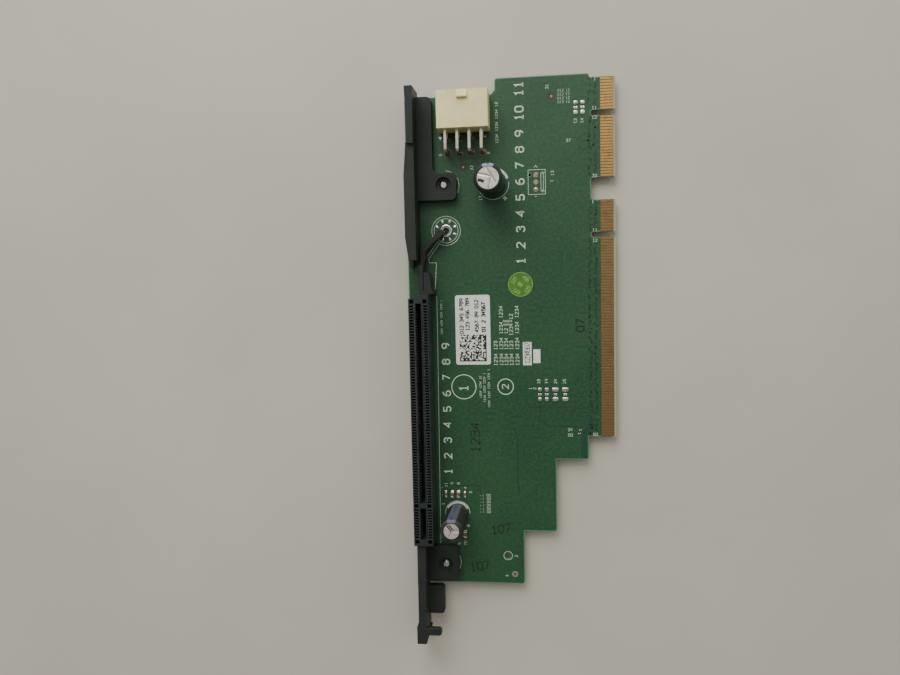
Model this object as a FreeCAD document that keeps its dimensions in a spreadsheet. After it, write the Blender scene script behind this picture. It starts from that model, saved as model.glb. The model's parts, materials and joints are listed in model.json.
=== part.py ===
import FreeCAD, Part
import math
import os
import Sketcher

# Server riser card: a green circuit board with two gold edge tongues on its right side, a tall
# card slot, a right-angle power header, a latch and two black guide brackets along its left side.
#
# Directions: X runs from the brackets to the edge tongues, Y up the board, Z out of its face.
# Every size below is written once, in the sheet. X is measured from the board's left edge,
# Y from its bottom edge and Z from its top face, and the whole part is then set down with its
# origin under the middle of its bounding box.

V = FreeCAD.Vector

SIZES = [
    # the board
    ("board_width", 74.17, "left edge to the tip of the tongues"),
    ("board_length", 183.05, "bottom edge to top edge"),
    ("board_thick", 1.57, ""),
    ("board_corner", 1.0, "radius of the outer corners"),
    ("head_drop", 5.45, "full length to the top edge beside the power header"),
    ("head_step", 32.4, "where that edge steps up to the full length"),
    ("head_bevel", 1.4, ""),
    ("shoulder_back", 8.6, "top right corner to the tip of the tongues"),
    ("stair_one_back", 9.82, "tip of the tongues to the right edge below them"),
    ("stair_one_drop", 9.1, "last finger to the first stair"),
    ("stair_two_back", 11.64, "first stair to the second"),
    ("stair_two_drop", 26.85, ""),
    ("stair_three_back", 11.97, "second stair to the last edge"),
    ("foot_relief", 1.2, "recess of the left edge beside the lower bracket"),
    ("foot_relief_top", 17.0, ""),
    # the edge tongues
    ("pitch", 1.0, "finger to finger"),
    ("finger_wide", 0.7, ""),
    ("finger_long", 4.39, ""),
    ("finger_thick", 0.05, ""),
    ("finger_back", 5.17, "inner end of the fingers to the tip of the tongue"),
    ("tongue_side", 0.6, "end finger to the side of its tongue"),
    ("tongue_deep", 8.45, "tip to the floor of the notches"),
    ("notch_wide", 1.9, "key notch"),
    ("notch_gap", 3.0, "last finger before the key to the first one after it"),
    ("before_key", 11, "fingers before the key notch"),
    ("after_key_short", 21, "fingers after it on the short tongue"),
    ("after_key_long", 71, "fingers after it on the long tongue"),
    ("short_inset", 1.98, "top edge to the first finger of the short tongue"),
    ("tongue_gap", 9.0, "last finger of the short tongue to the first of the long one"),
    ("bevel_run", 0.75, "lead-in bevel along X"),
    ("bevel_drop", 0.45, "lead-in bevel along Z"),
    # the card slot
    ("slot_mid", 5.1, ""),
    ("slot_skin", 0.35, "outer wall beside the cavities"),
    ("slot_tall", 11.25, ""),
    ("slot_start", 17.5, "lower end"),
    ("slot_wall", 2.2, "lower end wall"),
    ("slot_short", 11.65, "opening before the key"),
    ("slot_key", 1.65, "key rib"),
    ("slot_long", 71.65, "opening after the key"),
    ("slot_top_wall", 1.65, "upper end wall"),
    ("slot_nose", 1.5, "bevelled nose on the upper end"),
    ("slot_gap", 1.9, "width of the opening"),
    ("slot_deep", 8.85, ""),
    ("slot_lead", 0.2, "bevel round the opening"),
    ("cell_wide", 0.62, "contact cavity along Y"),
    ("cell_long", 1.8, "contact cavity along X"),
    ("cell_rib", 0.4, "rib between cavity and opening"),
    ("cell_bridge", 0.9, "height of the rib"),
    ("corner_cell", 1.4, "square pocket beside the key and the ends"),
    ("corner_cell_deep", 3.0, ""),
    ("contact_wide", 0.4, ""),
    ("contact_thick", 0.22, ""),
    ("contact_reach", 0.2, "how far the spring stands into the opening"),
    # the latch
    ("latch_tall", 8.0, "prongs"),
    ("arm_tall", 4.6, "top of the spring arm"),
    ("arm_lift", 0.6, "gap under the arm"),
    ("ring_x", 14.15, "plated hole that takes the latch's peg"),
    ("ring_over", 24.05, "upper end of the slot to that hole"),
    ("ring_bore", 2.6, ""),
    ("ring_pad", 3.8, ""),
    ("ring_pad_thick", 0.06, ""),
    ("peg_wide", 1.3, ""),
    # the power header
    ("header_mid", 21.7, ""),
    ("header_deep", 12.75, "rear wall to mouth"),
    ("header_roof", 2.8, "axis of the upper row to the top"),
    ("header_side", 2.6, "axis of the end columns to the side"),
    ("header_pitch", 4.2, ""),
    ("header_low", 2.8, "axis of the lower row"),
    ("socket_wide", 3.5, ""),
    ("socket_deep", 9.6, ""),
    ("socket_bevel", 0.9, ""),
    ("lock_wide", 3.65, ""),
    ("lock_long", 2.7, ""),
    ("lock_tall", 0.9, ""),
    ("pin_wide", 1.0, ""),
    ("pin_bore", 1.6, ""),
    ("pin_front", 1.8, "tip of the pins to the mouth"),
    ("pin_back", 1.85, "rear wall to the first row of holes"),
    ("pin_rows", 5.3, "first row of holes to the second"),
    ("pin_below", 1.3, "pin length below the board"),
    # the guide brackets
    ("plate_tall", 3.0, "flange and ears"),
    ("wall_tall", 10.5, "wall"),
    ("wall_step", 1.0, "extra height of the upper end"),
    ("wall_right", 4.8, ""),
    ("wall_thin", 2.4, "left face of the upper end"),
    ("wall_left", 1.0, "left face of the guide rail"),
    ("upper_over", 1.8, "top edge beside the header to the wall's upper end"),
    ("upper_step_drop", 17.1, "that edge to the step in the wall"),
    ("upper_end_over", 13.5, "upper end of the slot to the wall's lower end"),
    ("flange_right", 10.15, ""),
    ("ear_right", 18.5, ""),
    ("ear_drop", 27.0, "top edge beside the header to the ear"),
    ("ear_long", 9.6, ""),
    ("ear_corner", 1.9, ""),
    ("lower_left", 2.5, ""),
    ("lower_right", 5.3, ""),
    ("lower_end", 19.4, "below the board's bottom edge"),
    ("lower_ear_right", 16.5, ""),
    ("lower_ear_bottom", 1.8, ""),
    ("lower_ear_top", 14.6, ""),
    ("lug_right", 10.95, ""),
    ("lug_top", 0.6, "below the board's bottom edge"),
    ("lug_long", 10.4, ""),
    ("lug_corner", 1.2, ""),
    ("hook_reach", 5.4, ""),
    ("hook_wide", 2.7, "along Y"),
    ("hook_deep", 1.8, "along Z"),
    ("hook_up", 3.4, "foot to the hook"),
    ("screw_x", 13.9, "upper ear"),
    ("screw_drop", 31.2, "top edge beside the header to the upper screw"),
    ("screw_low_x", 11.85, "lower ear"),
    ("screw_low_y", 7.6, ""),
    ("screw_wide", 2.9, ""),
    ("screw_fit", 0.15, "clearance round the shank"),
    ("screw_head", 5.6, ""),
    ("screw_head_tall", 1.7, ""),
    ("sink_wide", 5.4, "recess round the screw's tip"),
    ("sink_deep", 1.1, ""),
    # the electrolytic capacitors
    ("big_x", 30.7, ""),
    ("big_drop", 31.0, "top edge beside the header to the can"),
    ("big_wide", 10.0, ""),
    ("big_tall", 16.0, ""),
    ("big_lead_pitch", 5.0, ""),
    ("small_x", 16.25, ""),
    ("small_y", 26.2, ""),
    ("small_wide", 8.0, ""),
    ("small_tall", 20.0, ""),
    ("small_lead_pitch", 3.5, ""),
    ("sleeve_thick", 0.15, ""),
    ("sleeve_rim", 1.25, "sleeve folded over the top"),
    ("can_round", 0.8, ""),
    ("bung_tall", 0.9, ""),
    ("lead_wide", 0.6, ""),
    ("lead_below", 1.1, ""),
    ("vent_wide", 0.34, ""),
    ("vent_deep", 0.25, ""),
    ("vent_shift", 1.4, "bar of the large can's vent to the axis"),
    ("vent_turn", 217, "degrees"),
    # the chip capacitors
    ("chip_y", 33.45, ""),
    ("chip_first", 12.05, ""),
    ("chip_pitch", 2.33, ""),
    ("chip_tail_x", 18.9, ""),
    ("chip_tail_y", 18.5, ""),
    ("chip_end", 0.4, "metal end"),
    # labels
    ("label_thick", 0.1, ""),
    ("label_left", 16.85, ""),
    ("label_low", 81.75, ""),
    ("label_wide", 12.65, ""),
    ("label_long", 25.3, ""),
    ("tag_left", 41.15, ""),
    ("tag_low", 81.4, ""),
    ("tag_wide", 3.1, ""),
    ("tag_long", 8.4, ""),
    ("strip_left", 44.85, ""),
    ("strip_low", 82.15, ""),
    ("strip_wide", 2.5, ""),
    ("strip_long", 4.95, ""),
    ("sticker_x", 40.6, ""),
    ("sticker_y", 110.55, ""),
    ("sticker_wide", 8.9, ""),
    # other holes
    ("tool_hole_back", 6.08, "last edge of the stairs to the tool hole"),
    ("tool_hole_y", 10.55, ""),
    ("tool_hole_wide", 2.7, ""),
    ("fan_hole_x", 46.52, "empty three-pin footprint"),
    ("fan_hole_drop", 28.54, "top edge beside the header to the first hole"),
    ("fan_hole_pitch", 2.54, ""),
    ("fan_hole_wide", 1.0, ""),
    ("key_hole_x", 44.4, ""),
]


class Size:
    """A number together with the sheet expression that gives it."""

    def __init__(self, number, text):
        self.number = number
        self.text = text

    @staticmethod
    def of(value):
        return value if isinstance(value, Size) else Size(float(value), "%.6g" % value)

    def _with(self, other, sign, number):
        return Size(number, "(%s %s %s)" % (self.text, sign, Size.of(other).text))

    def __add__(self, other):
        return self._with(other, "+", self.number + Size.of(other).number)

    def __sub__(self, other):
        return self._with(other, "-", self.number - Size.of(other).number)

    def __mul__(self, other):
        return self._with(other, "*", self.number * Size.of(other).number)

    def __truediv__(self, other):
        return self._with(other, "/", self.number / Size.of(other).number)

    def __radd__(self, other):
        return Size.of(other) + self

    def __rsub__(self, other):
        return Size.of(other) - self

    def __rmul__(self, other):
        return Size.of(other) * self

    def __neg__(self):
        return Size(0.0, "0") - self


class Sheet:
    """The driving dimensions, one spreadsheet row each."""

    def __init__(self, doc, rows):
        self.sheet = doc.addObject("Spreadsheet::Sheet", "Dims")
        for line, (alias, value, note) in enumerate(rows, start=1):
            self.sheet.set("A%d" % line, alias)
            self.sheet.set("B%d" % line, "%.6g" % value)
            self.sheet.setAlias("B%d" % line, alias)
            self.sheet.set("C%d" % line, note)
        doc.recompute()

    def __getattr__(self, alias):
        return Size(float(self.sheet.get(alias)), "Dims.%s" % alias)


doc = FreeCAD.newDocument("RiserCard")
D = Sheet(doc, SIZES)
NODES = []


# ---------------------------------------------------------------- building blocks

def new_body(label):
    """A body that may hold several separate solids, under its node name."""
    body = doc.addObject("PartDesign::Body", label)
    body.Label = label
    body.AllowCompound = True
    NODES.append(body)
    return body


def origin_item(body, role):
    return [item for item in body.Origin.OriginFeatures if item.Role == role][0]


def new_sketch(body, plane="XY_Plane", offset=0.0):
    """A sketch on one of the body's origin planes, moved along the plane's normal."""
    sketch = body.newObject("Sketcher::SketchObject", "Sketch")
    sketch.AttachmentSupport = [(origin_item(body, plane), "")]
    sketch.MapMode = "FlatFace"
    offset = Size.of(offset)
    sketch.AttachmentOffset = FreeCAD.Placement(V(0, 0, offset.number), FreeCAD.Rotation())
    sketch.setExpression("AttachmentOffset.Base.z", offset.text)
    return sketch


def hold(sketch, kind, geometry, end, size):
    """Ties one coordinate of a point to the sheet."""
    size = Size.of(size)
    index = sketch.addConstraint(Sketcher.Constraint(kind, -1, 1, geometry, end, size.number))
    sketch.renameConstraint(index, "d%d" % index)
    sketch.setExpression("Constraints.d%d" % index, size.text)


def add_outline(sketch, points):
    """A closed outline of straight lines; every corner is tied to the sheet."""
    points = [(Size.of(x), Size.of(y)) for x, y in points]
    flat = [V(x.number, y.number, 0) for x, y in points]
    lines = [sketch.addGeometry(Part.LineSegment(flat[i], flat[(i + 1) % len(flat)]))
             for i in range(len(flat))]
    for i, line in enumerate(lines):
        sketch.addConstraint(Sketcher.Constraint("Coincident", line, 2, lines[(i + 1) % len(lines)], 1))
    for line, (x, y) in zip(lines, points):
        hold(sketch, "DistanceX", line, 1, x)
        hold(sketch, "DistanceY", line, 1, y)


def add_rectangle(sketch, left, low, right, top):
    """An upright rectangle from two opposite corners."""
    left, low, right, top = [Size.of(item) for item in (left, low, right, top)]
    corners = [V(left.number, low.number, 0), V(right.number, low.number, 0),
               V(right.number, top.number, 0), V(left.number, top.number, 0)]
    lines = [sketch.addGeometry(Part.LineSegment(corners[i], corners[(i + 1) % 4])) for i in range(4)]
    for i, line in enumerate(lines):
        sketch.addConstraint(Sketcher.Constraint("Coincident", line, 2, lines[(i + 1) % 4], 1))
        sketch.addConstraint(Sketcher.Constraint("Vertical" if i % 2 else "Horizontal", line))
    hold(sketch, "DistanceX", lines[0], 1, left)
    hold(sketch, "DistanceY", lines[0], 1, low)
    hold(sketch, "DistanceX", lines[2], 1, right)
    hold(sketch, "DistanceY", lines[2], 1, top)


def add_circle(sketch, x, y, diameter):
    x, y, diameter = Size.of(x), Size.of(y), Size.of(diameter)
    circle = sketch.addGeometry(Part.Circle(V(x.number, y.number, 0), V(0, 0, 1), diameter.number / 2))
    hold(sketch, "DistanceX", circle, 3, x)
    hold(sketch, "DistanceY", circle, 3, y)
    index = sketch.addConstraint(Sketcher.Constraint("Diameter", circle, diameter.number))
    sketch.renameConstraint(index, "d%d" % index)
    sketch.setExpression("Constraints.d%d" % index, diameter.text)


def pad(body, sketch, length, reverse=False):
    feature = body.newObject("PartDesign::Pad", "Pad")
    feature.Profile = sketch
    feature.Length = Size.of(length).number
    feature.setExpression("Length", Size.of(length).text)
    feature.Reversed = reverse
    doc.recompute()
    return feature


def pocket(body, sketch, depth, reverse=False):
    """Cuts against the sketch's normal, or along it when reversed, and must remove something."""
    before = body.Shape.Volume
    feature = body.newObject("PartDesign::Pocket", "Pocket")
    feature.Profile = sketch
    feature.Length = Size.of(depth).number
    feature.setExpression("Length", Size.of(depth).text)
    feature.Reversed = reverse
    doc.recompute()
    if body.Shape.Volume > before - 1e-6:
        raise RuntimeError("%s: a pocket removed nothing" % body.Label)
    return feature


def row_of(body, features, axis, spacing, count, reverse=False):
    """A straight row of equally spaced copies."""
    spacing, count = Size.of(spacing), Size.of(count)
    feature = body.newObject("PartDesign::LinearPattern", "Row")
    feature.Originals = features
    feature.Direction = (origin_item(body, axis), [""])
    feature.Mode = "Spacing"
    feature.Offset = spacing.number
    feature.setExpression("Offset", spacing.text)
    feature.Occurrences = int(round(count.number))
    feature.setExpression("Occurrences", count.text)
    feature.Reversed = reverse
    body.Tip = feature
    doc.recompute()
    return feature


def revolve(body, sketch):
    feature = body.newObject("PartDesign::Revolution", "Revolution")
    feature.Profile = sketch
    feature.ReferenceAxis = (origin_item(body, "Z_Axis"), [""])
    feature.Angle = 360
    doc.recompute()
    return feature


def upright_edges(shape, places, reach=0.05):
    """Names of the straight edges along Z that stand at the given places."""
    names = []
    for number, edge in enumerate(shape.Edges, start=1):
        ends = [vertex.Point for vertex in edge.Vertexes]
        if len(ends) != 2 or abs(ends[0].x - ends[1].x) > 1e-6 or abs(ends[0].y - ends[1].y) > 1e-6:
            continue
        for x, y in places:
            if abs(ends[0].x - Size.of(x).number) < reach and abs(ends[0].y - Size.of(y).number) < reach:
                names.append("Edge%d" % number)
                break
    return names


def round_edges(body, base, names, radius):
    if not names:
        raise RuntimeError("%s: no edge to round" % body.Label)
    feature = body.newObject("PartDesign::Fillet", "Fillet")
    feature.Base = (base, names)
    feature.Radius = Size.of(radius).number
    feature.setExpression("Radius", Size.of(radius).text)
    doc.recompute()
    return feature


def bevel_edges(body, base, names, size):
    if not names:
        raise RuntimeError("%s: no edge to bevel" % body.Label)
    feature = body.newObject("PartDesign::Chamfer", "Chamfer")
    feature.Base = (base, names)
    feature.Size = Size.of(size).number
    feature.setExpression("Size", Size.of(size).text)
    doc.recompute()
    return feature


# ---------------------------------------------------------------- shared places

bottom = -D.board_thick
head_edge = D.board_length - D.head_drop
short_first = D.board_length - D.short_inset
short_key = short_first - (D.before_key - 1) * D.pitch - D.notch_gap / 2
short_restart = short_key - D.notch_gap / 2
short_last = short_restart - (D.after_key_short - 1) * D.pitch
long_first = short_last - D.tongue_gap
long_key = long_first - (D.before_key - 1) * D.pitch - D.notch_gap / 2
long_restart = long_key - D.notch_gap / 2
long_last = long_restart - (D.after_key_long - 1) * D.pitch
notch_floor = D.board_width - D.tongue_deep
finger_start = D.board_width - D.finger_back
stair_one_x = D.board_width - D.stair_one_back
stair_one_y = long_last - D.stair_one_drop
stair_two_x = stair_one_x - D.stair_two_back
stair_two_y = stair_one_y - D.stair_two_drop
stair_three_x = stair_two_x - D.stair_three_back
tool_hole_x = stair_three_x - D.tool_hole_back

cell_near = D.slot_gap / 2 + D.cell_rib
cell_far = cell_near + D.cell_long
slot_wide = 2 * (cell_far + D.slot_skin)
slot_left = D.slot_mid - slot_wide / 2
slot_right = D.slot_mid + slot_wide / 2
short_open = D.slot_start + D.slot_wall
short_close = short_open + D.slot_short
long_open = short_close + D.slot_key
long_close = long_open + D.slot_long
slot_end = long_close + D.slot_top_wall
slot_tip = slot_end + D.slot_nose
key_centre = (short_close + long_open) / 2
contact_long_first = key_centre + D.notch_gap / 2
contact_short_first = key_centre - D.notch_gap / 2
ring_y = slot_end + D.ring_over
slot_floor = D.slot_tall - D.slot_deep

header_left = D.header_mid - 1.5 * D.header_pitch - D.header_side
header_right = D.header_mid + 1.5 * D.header_pitch + D.header_side
header_mouth = head_edge
header_back = header_mouth - D.header_deep
header_high = D.header_low + D.header_pitch
header_tall = header_high + D.header_roof
pin_first = D.header_mid - 1.5 * D.header_pitch
pin_near = header_back - D.pin_back
pin_far = pin_near - D.pin_rows

upper_top = head_edge + D.upper_over
upper_step = head_edge - D.upper_step_drop
upper_end = slot_end + D.upper_end_over
ear_top = head_edge - D.ear_drop
ear_bottom = ear_top - D.ear_long
screw_y = head_edge - D.screw_drop
big_y = head_edge - D.big_drop
fan_hole_y = head_edge - D.fan_hole_drop
shank_bore = D.screw_wide + 2 * D.screw_fit


# ---------------------------------------------------------------- circuit board

def make_board():
    body = new_body("circuit_board")
    sketch = new_sketch(body, offset=bottom)
    add_rectangle(sketch, 0, 0, D.board_width, D.board_length)
    pad(body, sketch, D.board_thick)

    # the lower top edge beside the header, with its bevelled step
    over = 5
    sketch = new_sketch(body)
    add_outline(sketch, [(-over, head_edge), (D.head_step - D.head_bevel, head_edge),
                         (D.head_step, head_edge + D.head_bevel),
                         (D.head_step, D.board_length + over), (-over, D.board_length + over)])
    pocket(body, sketch, D.board_thick)

    # the shoulder over the short tongue
    shoulder = D.board_width - D.shoulder_back
    sketch = new_sketch(body)
    add_outline(sketch, [(shoulder, short_first + D.tongue_side),
                         (D.board_width + over, short_first + D.tongue_side),
                         (D.board_width + over, D.board_length + over),
                         (shoulder - 0.7, D.board_length + over), (shoulder - 0.7, D.board_length)])
    pocket(body, sketch, D.board_thick)

    # the gap between the tongues, and the stairs below the long one
    sketch = new_sketch(body)
    add_rectangle(sketch, notch_floor, long_first + D.tongue_side,
                  D.board_width + over, short_last - D.tongue_side)
    pocket(body, sketch, D.board_thick)
    sketch = new_sketch(body)
    add_outline(sketch, [(stair_one_x, long_last - D.tongue_side), (stair_one_x, stair_one_y),
                         (stair_two_x, stair_one_y), (stair_two_x, stair_two_y),
                         (stair_three_x, stair_two_y), (stair_three_x, -over),
                         (D.board_width + over, -over), (D.board_width + over, long_last - D.tongue_side)])
    pocket(body, sketch, D.board_thick)

    # the key notches, round at the floor
    for centre in (short_key, long_key):
        sketch = new_sketch(body)
        add_rectangle(sketch, notch_floor + D.notch_wide / 2, centre - D.notch_wide / 2,
                      D.board_width + over, centre + D.notch_wide / 2)
        pocket(body, sketch, D.board_thick)
        sketch = new_sketch(body)
        add_circle(sketch, notch_floor + D.notch_wide / 2, centre, D.notch_wide)
        pocket(body, sketch, D.board_thick)

    # the recess beside the lower bracket
    sketch = new_sketch(body)
    add_rectangle(sketch, -over, -over, D.foot_relief, D.foot_relief_top)
    pocket(body, sketch, D.board_thick)

    # lead-in bevels on both faces of the tongues
    sketch = new_sketch(body, "XZ_Plane")
    add_outline(sketch, [(D.board_width - D.bevel_run, 0), (D.board_width, -D.bevel_drop), (D.board_width, 0)])
    pocket(body, sketch, D.board_length)
    sketch = new_sketch(body, "XZ_Plane")
    add_outline(sketch, [(D.board_width - D.bevel_run, bottom), (D.board_width, bottom),
                         (D.board_width, bottom + D.bevel_drop)])
    pocket(body, sketch, D.board_length)

    # holes
    sketch = new_sketch(body)
    add_circle(sketch, D.ring_x, ring_y, D.ring_bore)
    add_circle(sketch, D.screw_x, screw_y, shank_bore)
    add_circle(sketch, D.screw_low_x, D.screw_low_y, shank_bore)
    add_circle(sketch, tool_hole_x, D.tool_hole_y, D.tool_hole_wide)
    add_circle(sketch, D.key_hole_x, fan_hole_y, D.fan_hole_wide)
    for step in range(2):
        add_circle(sketch, D.fan_hole_x, fan_hole_y - step * D.fan_hole_pitch, D.fan_hole_wide)
    lead_bore = D.lead_wide + 0.3
    for x, y, spread in ((D.big_x, big_y, D.big_lead_pitch), (D.small_x, D.small_y, D.small_lead_pitch)):
        add_circle(sketch, x, y - spread / 2, lead_bore)
        add_circle(sketch, x, y + spread / 2, lead_bore)
    pocket(body, sketch, D.board_thick)
    sketch = new_sketch(body)
    add_circle(sketch, pin_first, pin_near, D.pin_bore)
    add_circle(sketch, pin_first, pin_far, D.pin_bore)
    first = pocket(body, sketch, D.board_thick)
    last = row_of(body, [first], "X_Axis", D.header_pitch, 4)

    corners = [(D.foot_relief, 0), (stair_three_x, 0), (stair_two_x, stair_two_y),
               (stair_one_x, stair_one_y), (D.head_step, D.board_length), (0, head_edge),
               (notch_floor, long_first + D.tongue_side), (notch_floor, short_last - D.tongue_side)]
    round_edges(body, last, upright_edges(last.Shape, corners), D.board_corner)


def make_fingers(label, first, restart, count, below):
    """One face of one tongue: the fingers before the key notch, then those after it."""
    body = new_body(label)
    level = bottom - D.finger_thick if below else Size.of(0)
    for start, number in ((first, D.before_key), (restart, count)):
        sketch = new_sketch(body, offset=level)
        add_rectangle(sketch, finger_start, start - D.finger_wide / 2,
                      finger_start + D.finger_long, start + D.finger_wide / 2)
        finger = pad(body, sketch, D.finger_thick)
        row_of(body, [finger], "Y_Axis", D.pitch, number, reverse=True)


# ---------------------------------------------------------------- card slot

def make_slot_housing():
    body = new_body("slot_housing")
    sketch = new_sketch(body)
    nose = (slot_wide - D.slot_nose * 2) / 2
    add_outline(sketch, [(slot_left, D.slot_start), (slot_right, D.slot_start), (slot_right, slot_tip),
                         (slot_right - nose, slot_tip), (slot_left, slot_end)])
    pad(body, sketch, D.slot_tall)

    # the two openings, with a bevel round their mouths
    sketch = new_sketch(body, offset=D.slot_tall)
    low, high = D.slot_mid - D.slot_gap / 2, D.slot_mid + D.slot_gap / 2
    add_rectangle(sketch, low, short_open, high, short_close)
    add_rectangle(sketch, low, long_open, high, long_close)
    opening = pocket(body, sketch, D.slot_deep)
    rim = []
    for number, edge in enumerate(opening.Shape.Edges, start=1):
        box = edge.BoundBox
        inside = box.XMin > low.number - 1e-3 and box.XMax < high.number + 1e-3
        along = box.YLength > D.slot_short.number - 1e-3
        if inside and along and box.ZMin > D.slot_tall.number - 1e-3:
            rim.append("Edge%d" % number)
    bevel_edges(body, opening, rim, D.slot_lead)

    # below the ribs the openings widen, so that the contacts can reach the card
    for start, length in ((short_open, D.slot_short), (long_open, D.slot_long)):
        sketch = new_sketch(body, "XZ_Plane", -start)
        add_rectangle(sketch, D.slot_mid - cell_near, slot_floor, D.slot_mid + cell_near,
                      D.slot_tall - D.cell_bridge)
        pocket(body, sketch, length)

    # square pockets beside the key rib and in the end walls
    sketch = new_sketch(body, offset=D.slot_tall)
    for centre in (short_open - D.corner_cell / 2, key_centre, long_close + D.corner_cell / 2):
        for side in (-1, 1):
            middle = D.slot_mid + side * (cell_near + D.cell_long / 2 + 0.1)
            add_rectangle(sketch, middle - D.corner_cell / 2, centre - D.corner_cell / 2,
                          middle + D.corner_cell / 2, centre + D.corner_cell / 2)
    pocket(body, sketch, D.corner_cell_deep)

    # contact cavities on both sides, open to the undercut
    for start, number, back in ((contact_long_first, D.after_key_long, False),
                                (contact_short_first, D.before_key, True)):
        sketch = new_sketch(body, offset=D.slot_tall)
        for side in (-1, 1):
            near, far = D.slot_mid + side * cell_near, D.slot_mid + side * cell_far
            left, right = (far, near) if side < 0 else (near, far)
            add_rectangle(sketch, left, start - D.cell_wide / 2, right, start + D.cell_wide / 2)
        cavity = pocket(body, sketch, D.slot_deep)
        row_of(body, [cavity], "Y_Axis", D.pitch, number, reverse=back)


def make_contacts(label, side):
    """One row of bent spring contacts; the belly of each stands into the opening."""
    body = new_body(label)
    foot = cell_far - 0.5
    belly = D.slot_gap / 2 - D.contact_reach
    tip = cell_near + 0.25
    half = D.contact_thick / 2
    top = D.slot_tall - D.cell_bridge + 0.2
    path = [(foot, slot_floor), (belly, D.slot_tall - 2.65), (tip, top)]
    outline = [(D.slot_mid + side * (x + half), z) for x, z in path]
    outline += [(D.slot_mid + side * (x - half), z) for x, z in reversed(path)]
    for start, number, back in ((contact_long_first, D.after_key_long, False),
                                (contact_short_first, D.before_key, True)):
        sketch = new_sketch(body, "XZ_Plane", -(start - D.contact_wide / 2))
        add_outline(sketch, outline)
        contact = pad(body, sketch, D.contact_wide, reverse=True)
        row_of(body, [contact], "Y_Axis", D.pitch, number, reverse=back)


# ---------------------------------------------------------------- latch

def make_latch():
    body = new_body("card_latch")
    left, slit = D.slot_mid + 0.1, D.slot_mid + 1.45
    sketch = new_sketch(body)
    add_outline(sketch, [(left, slot_tip), (left, slot_tip + 8.1), (left - 0.8, slot_tip + 8.4),
                         (left - 0.8, slot_tip + 9.3), (left, slot_tip + 10.2), (slit, slot_tip + 10.2),
                         (slit, slot_tip)])
    pad(body, sketch, D.latch_tall)
    sketch = new_sketch(body)
    add_outline(sketch, [(slit + 0.2, slot_tip + 1.2), (slit + 0.2, slot_tip + 7.8),
                         (slot_right, slot_tip + 7.2), (slot_right + 0.6, slot_tip + 5),
                         (slot_right + 0.8, slot_tip + 2.2), (slot_right + 1.6, slot_tip),
                         (slit, slot_tip), (slit, slot_tip + 1.2)])
    pad(body, sketch, D.latch_tall)
    # the spring arm, cranked over to the plated hole
    sketch = new_sketch(body, offset=D.arm_lift)
    hole_x, hole_y = D.ring_x, ring_y
    add_outline(sketch, [(left, slot_tip + 9), (left, slot_tip + 16.2), (left + 1.1, slot_tip + 17.7),
                         (hole_x - 5.0, hole_y - 3.5), (hole_x - 3.8, hole_y - 2.0), (hole_x - 3.0, hole_y - 0.1),
                         (hole_x - 1.1, hole_y + 0.25), (hole_x + 0.15, hole_y - 0.6),
                         (hole_x - 1.7, hole_y - 2.5), (hole_x - 4.0, hole_y - 4.3),
                         (hole_x - 6.2, hole_y - 6.5), (left + 1.85, slot_tip + 14.7),
                         (left + 1.85, slot_tip + 12.2), (slit, slot_tip + 10.8), (slit, slot_tip + 9)])
    pad(body, sketch, D.arm_tall - D.arm_lift)
    # the peg that drops into the hole
    sketch = new_sketch(body, offset=bottom)
    add_circle(sketch, hole_x - 0.42, hole_y - 0.42, D.peg_wide - 0.2)
    pad(body, sketch, D.board_thick + D.arm_tall - 1)


def make_ring():
    """The plated hole: a barrel with a flat ring on each face of the board."""
    body = new_body("hole_ring")
    wall = 0.08
    for level, height, inner in ((Size.of(0), D.ring_pad_thick, D.ring_bore - 2 * wall),
                                 (bottom - D.ring_pad_thick, D.ring_pad_thick, D.ring_bore - 2 * wall)):
        sketch = new_sketch(body, offset=level)
        add_circle(sketch, D.ring_x, ring_y, D.ring_pad)
        add_circle(sketch, D.ring_x, ring_y, inner)
        pad(body, sketch, height)
    sketch = new_sketch(body, offset=bottom)
    add_circle(sketch, D.ring_x, ring_y, D.ring_bore)
    add_circle(sketch, D.ring_x, ring_y, D.ring_bore - 2 * wall)
    pad(body, sketch, D.board_thick)


# ---------------------------------------------------------------- power header

def make_header():
    body = new_body("power_header_housing")
    sketch = new_sketch(body)
    add_rectangle(sketch, header_left, header_back, header_right, header_mouth)
    pad(body, sketch, header_tall)
    # the ramp that holds the plug's latch
    sketch = new_sketch(body, "YZ_Plane", D.header_mid - D.lock_wide / 2)
    add_outline(sketch, [(header_mouth, header_tall - 0.1), (header_mouth, header_tall + 0.2),
                         (header_mouth - D.lock_long + 0.5, header_tall + D.lock_tall),
                         (header_mouth - D.lock_long, header_tall + D.lock_tall),
                         (header_mouth - D.lock_long, header_tall - 0.1)])
    pad(body, sketch, D.lock_wide)
    # eight sockets: square ones, and keyed ones with bevelled corners
    half = D.socket_wide / 2
    for column in range(4):
        for row, level in enumerate((D.header_low, header_high)):
            middle = pin_first + column * D.header_pitch
            sketch = new_sketch(body, "XZ_Plane", -header_mouth)
            if (column + row) % 2:
                add_rectangle(sketch, middle - half, level - half, middle + half, level + half)
            else:
                cut = D.socket_bevel
                add_outline(sketch, [(middle - half, level - half), (middle + half, level - half),
                                     (middle + half, level + half - cut), (middle + half - cut, level + half),
                                     (middle - half + cut, level + half), (middle - half, level + half - cut)])
            pocket(body, sketch, D.socket_deep, reverse=True)
    # the pins' way through the rear wall
    sketch = new_sketch(body, "XZ_Plane", -header_mouth)
    thick = D.pin_wide / 2
    for level in (D.header_low, header_high):
        add_rectangle(sketch, pin_first - thick, level - thick, pin_first + thick, level + thick)
    way = pocket(body, sketch, D.header_deep, reverse=True)
    row_of(body, [way], "X_Axis", D.header_pitch, 4)


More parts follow.
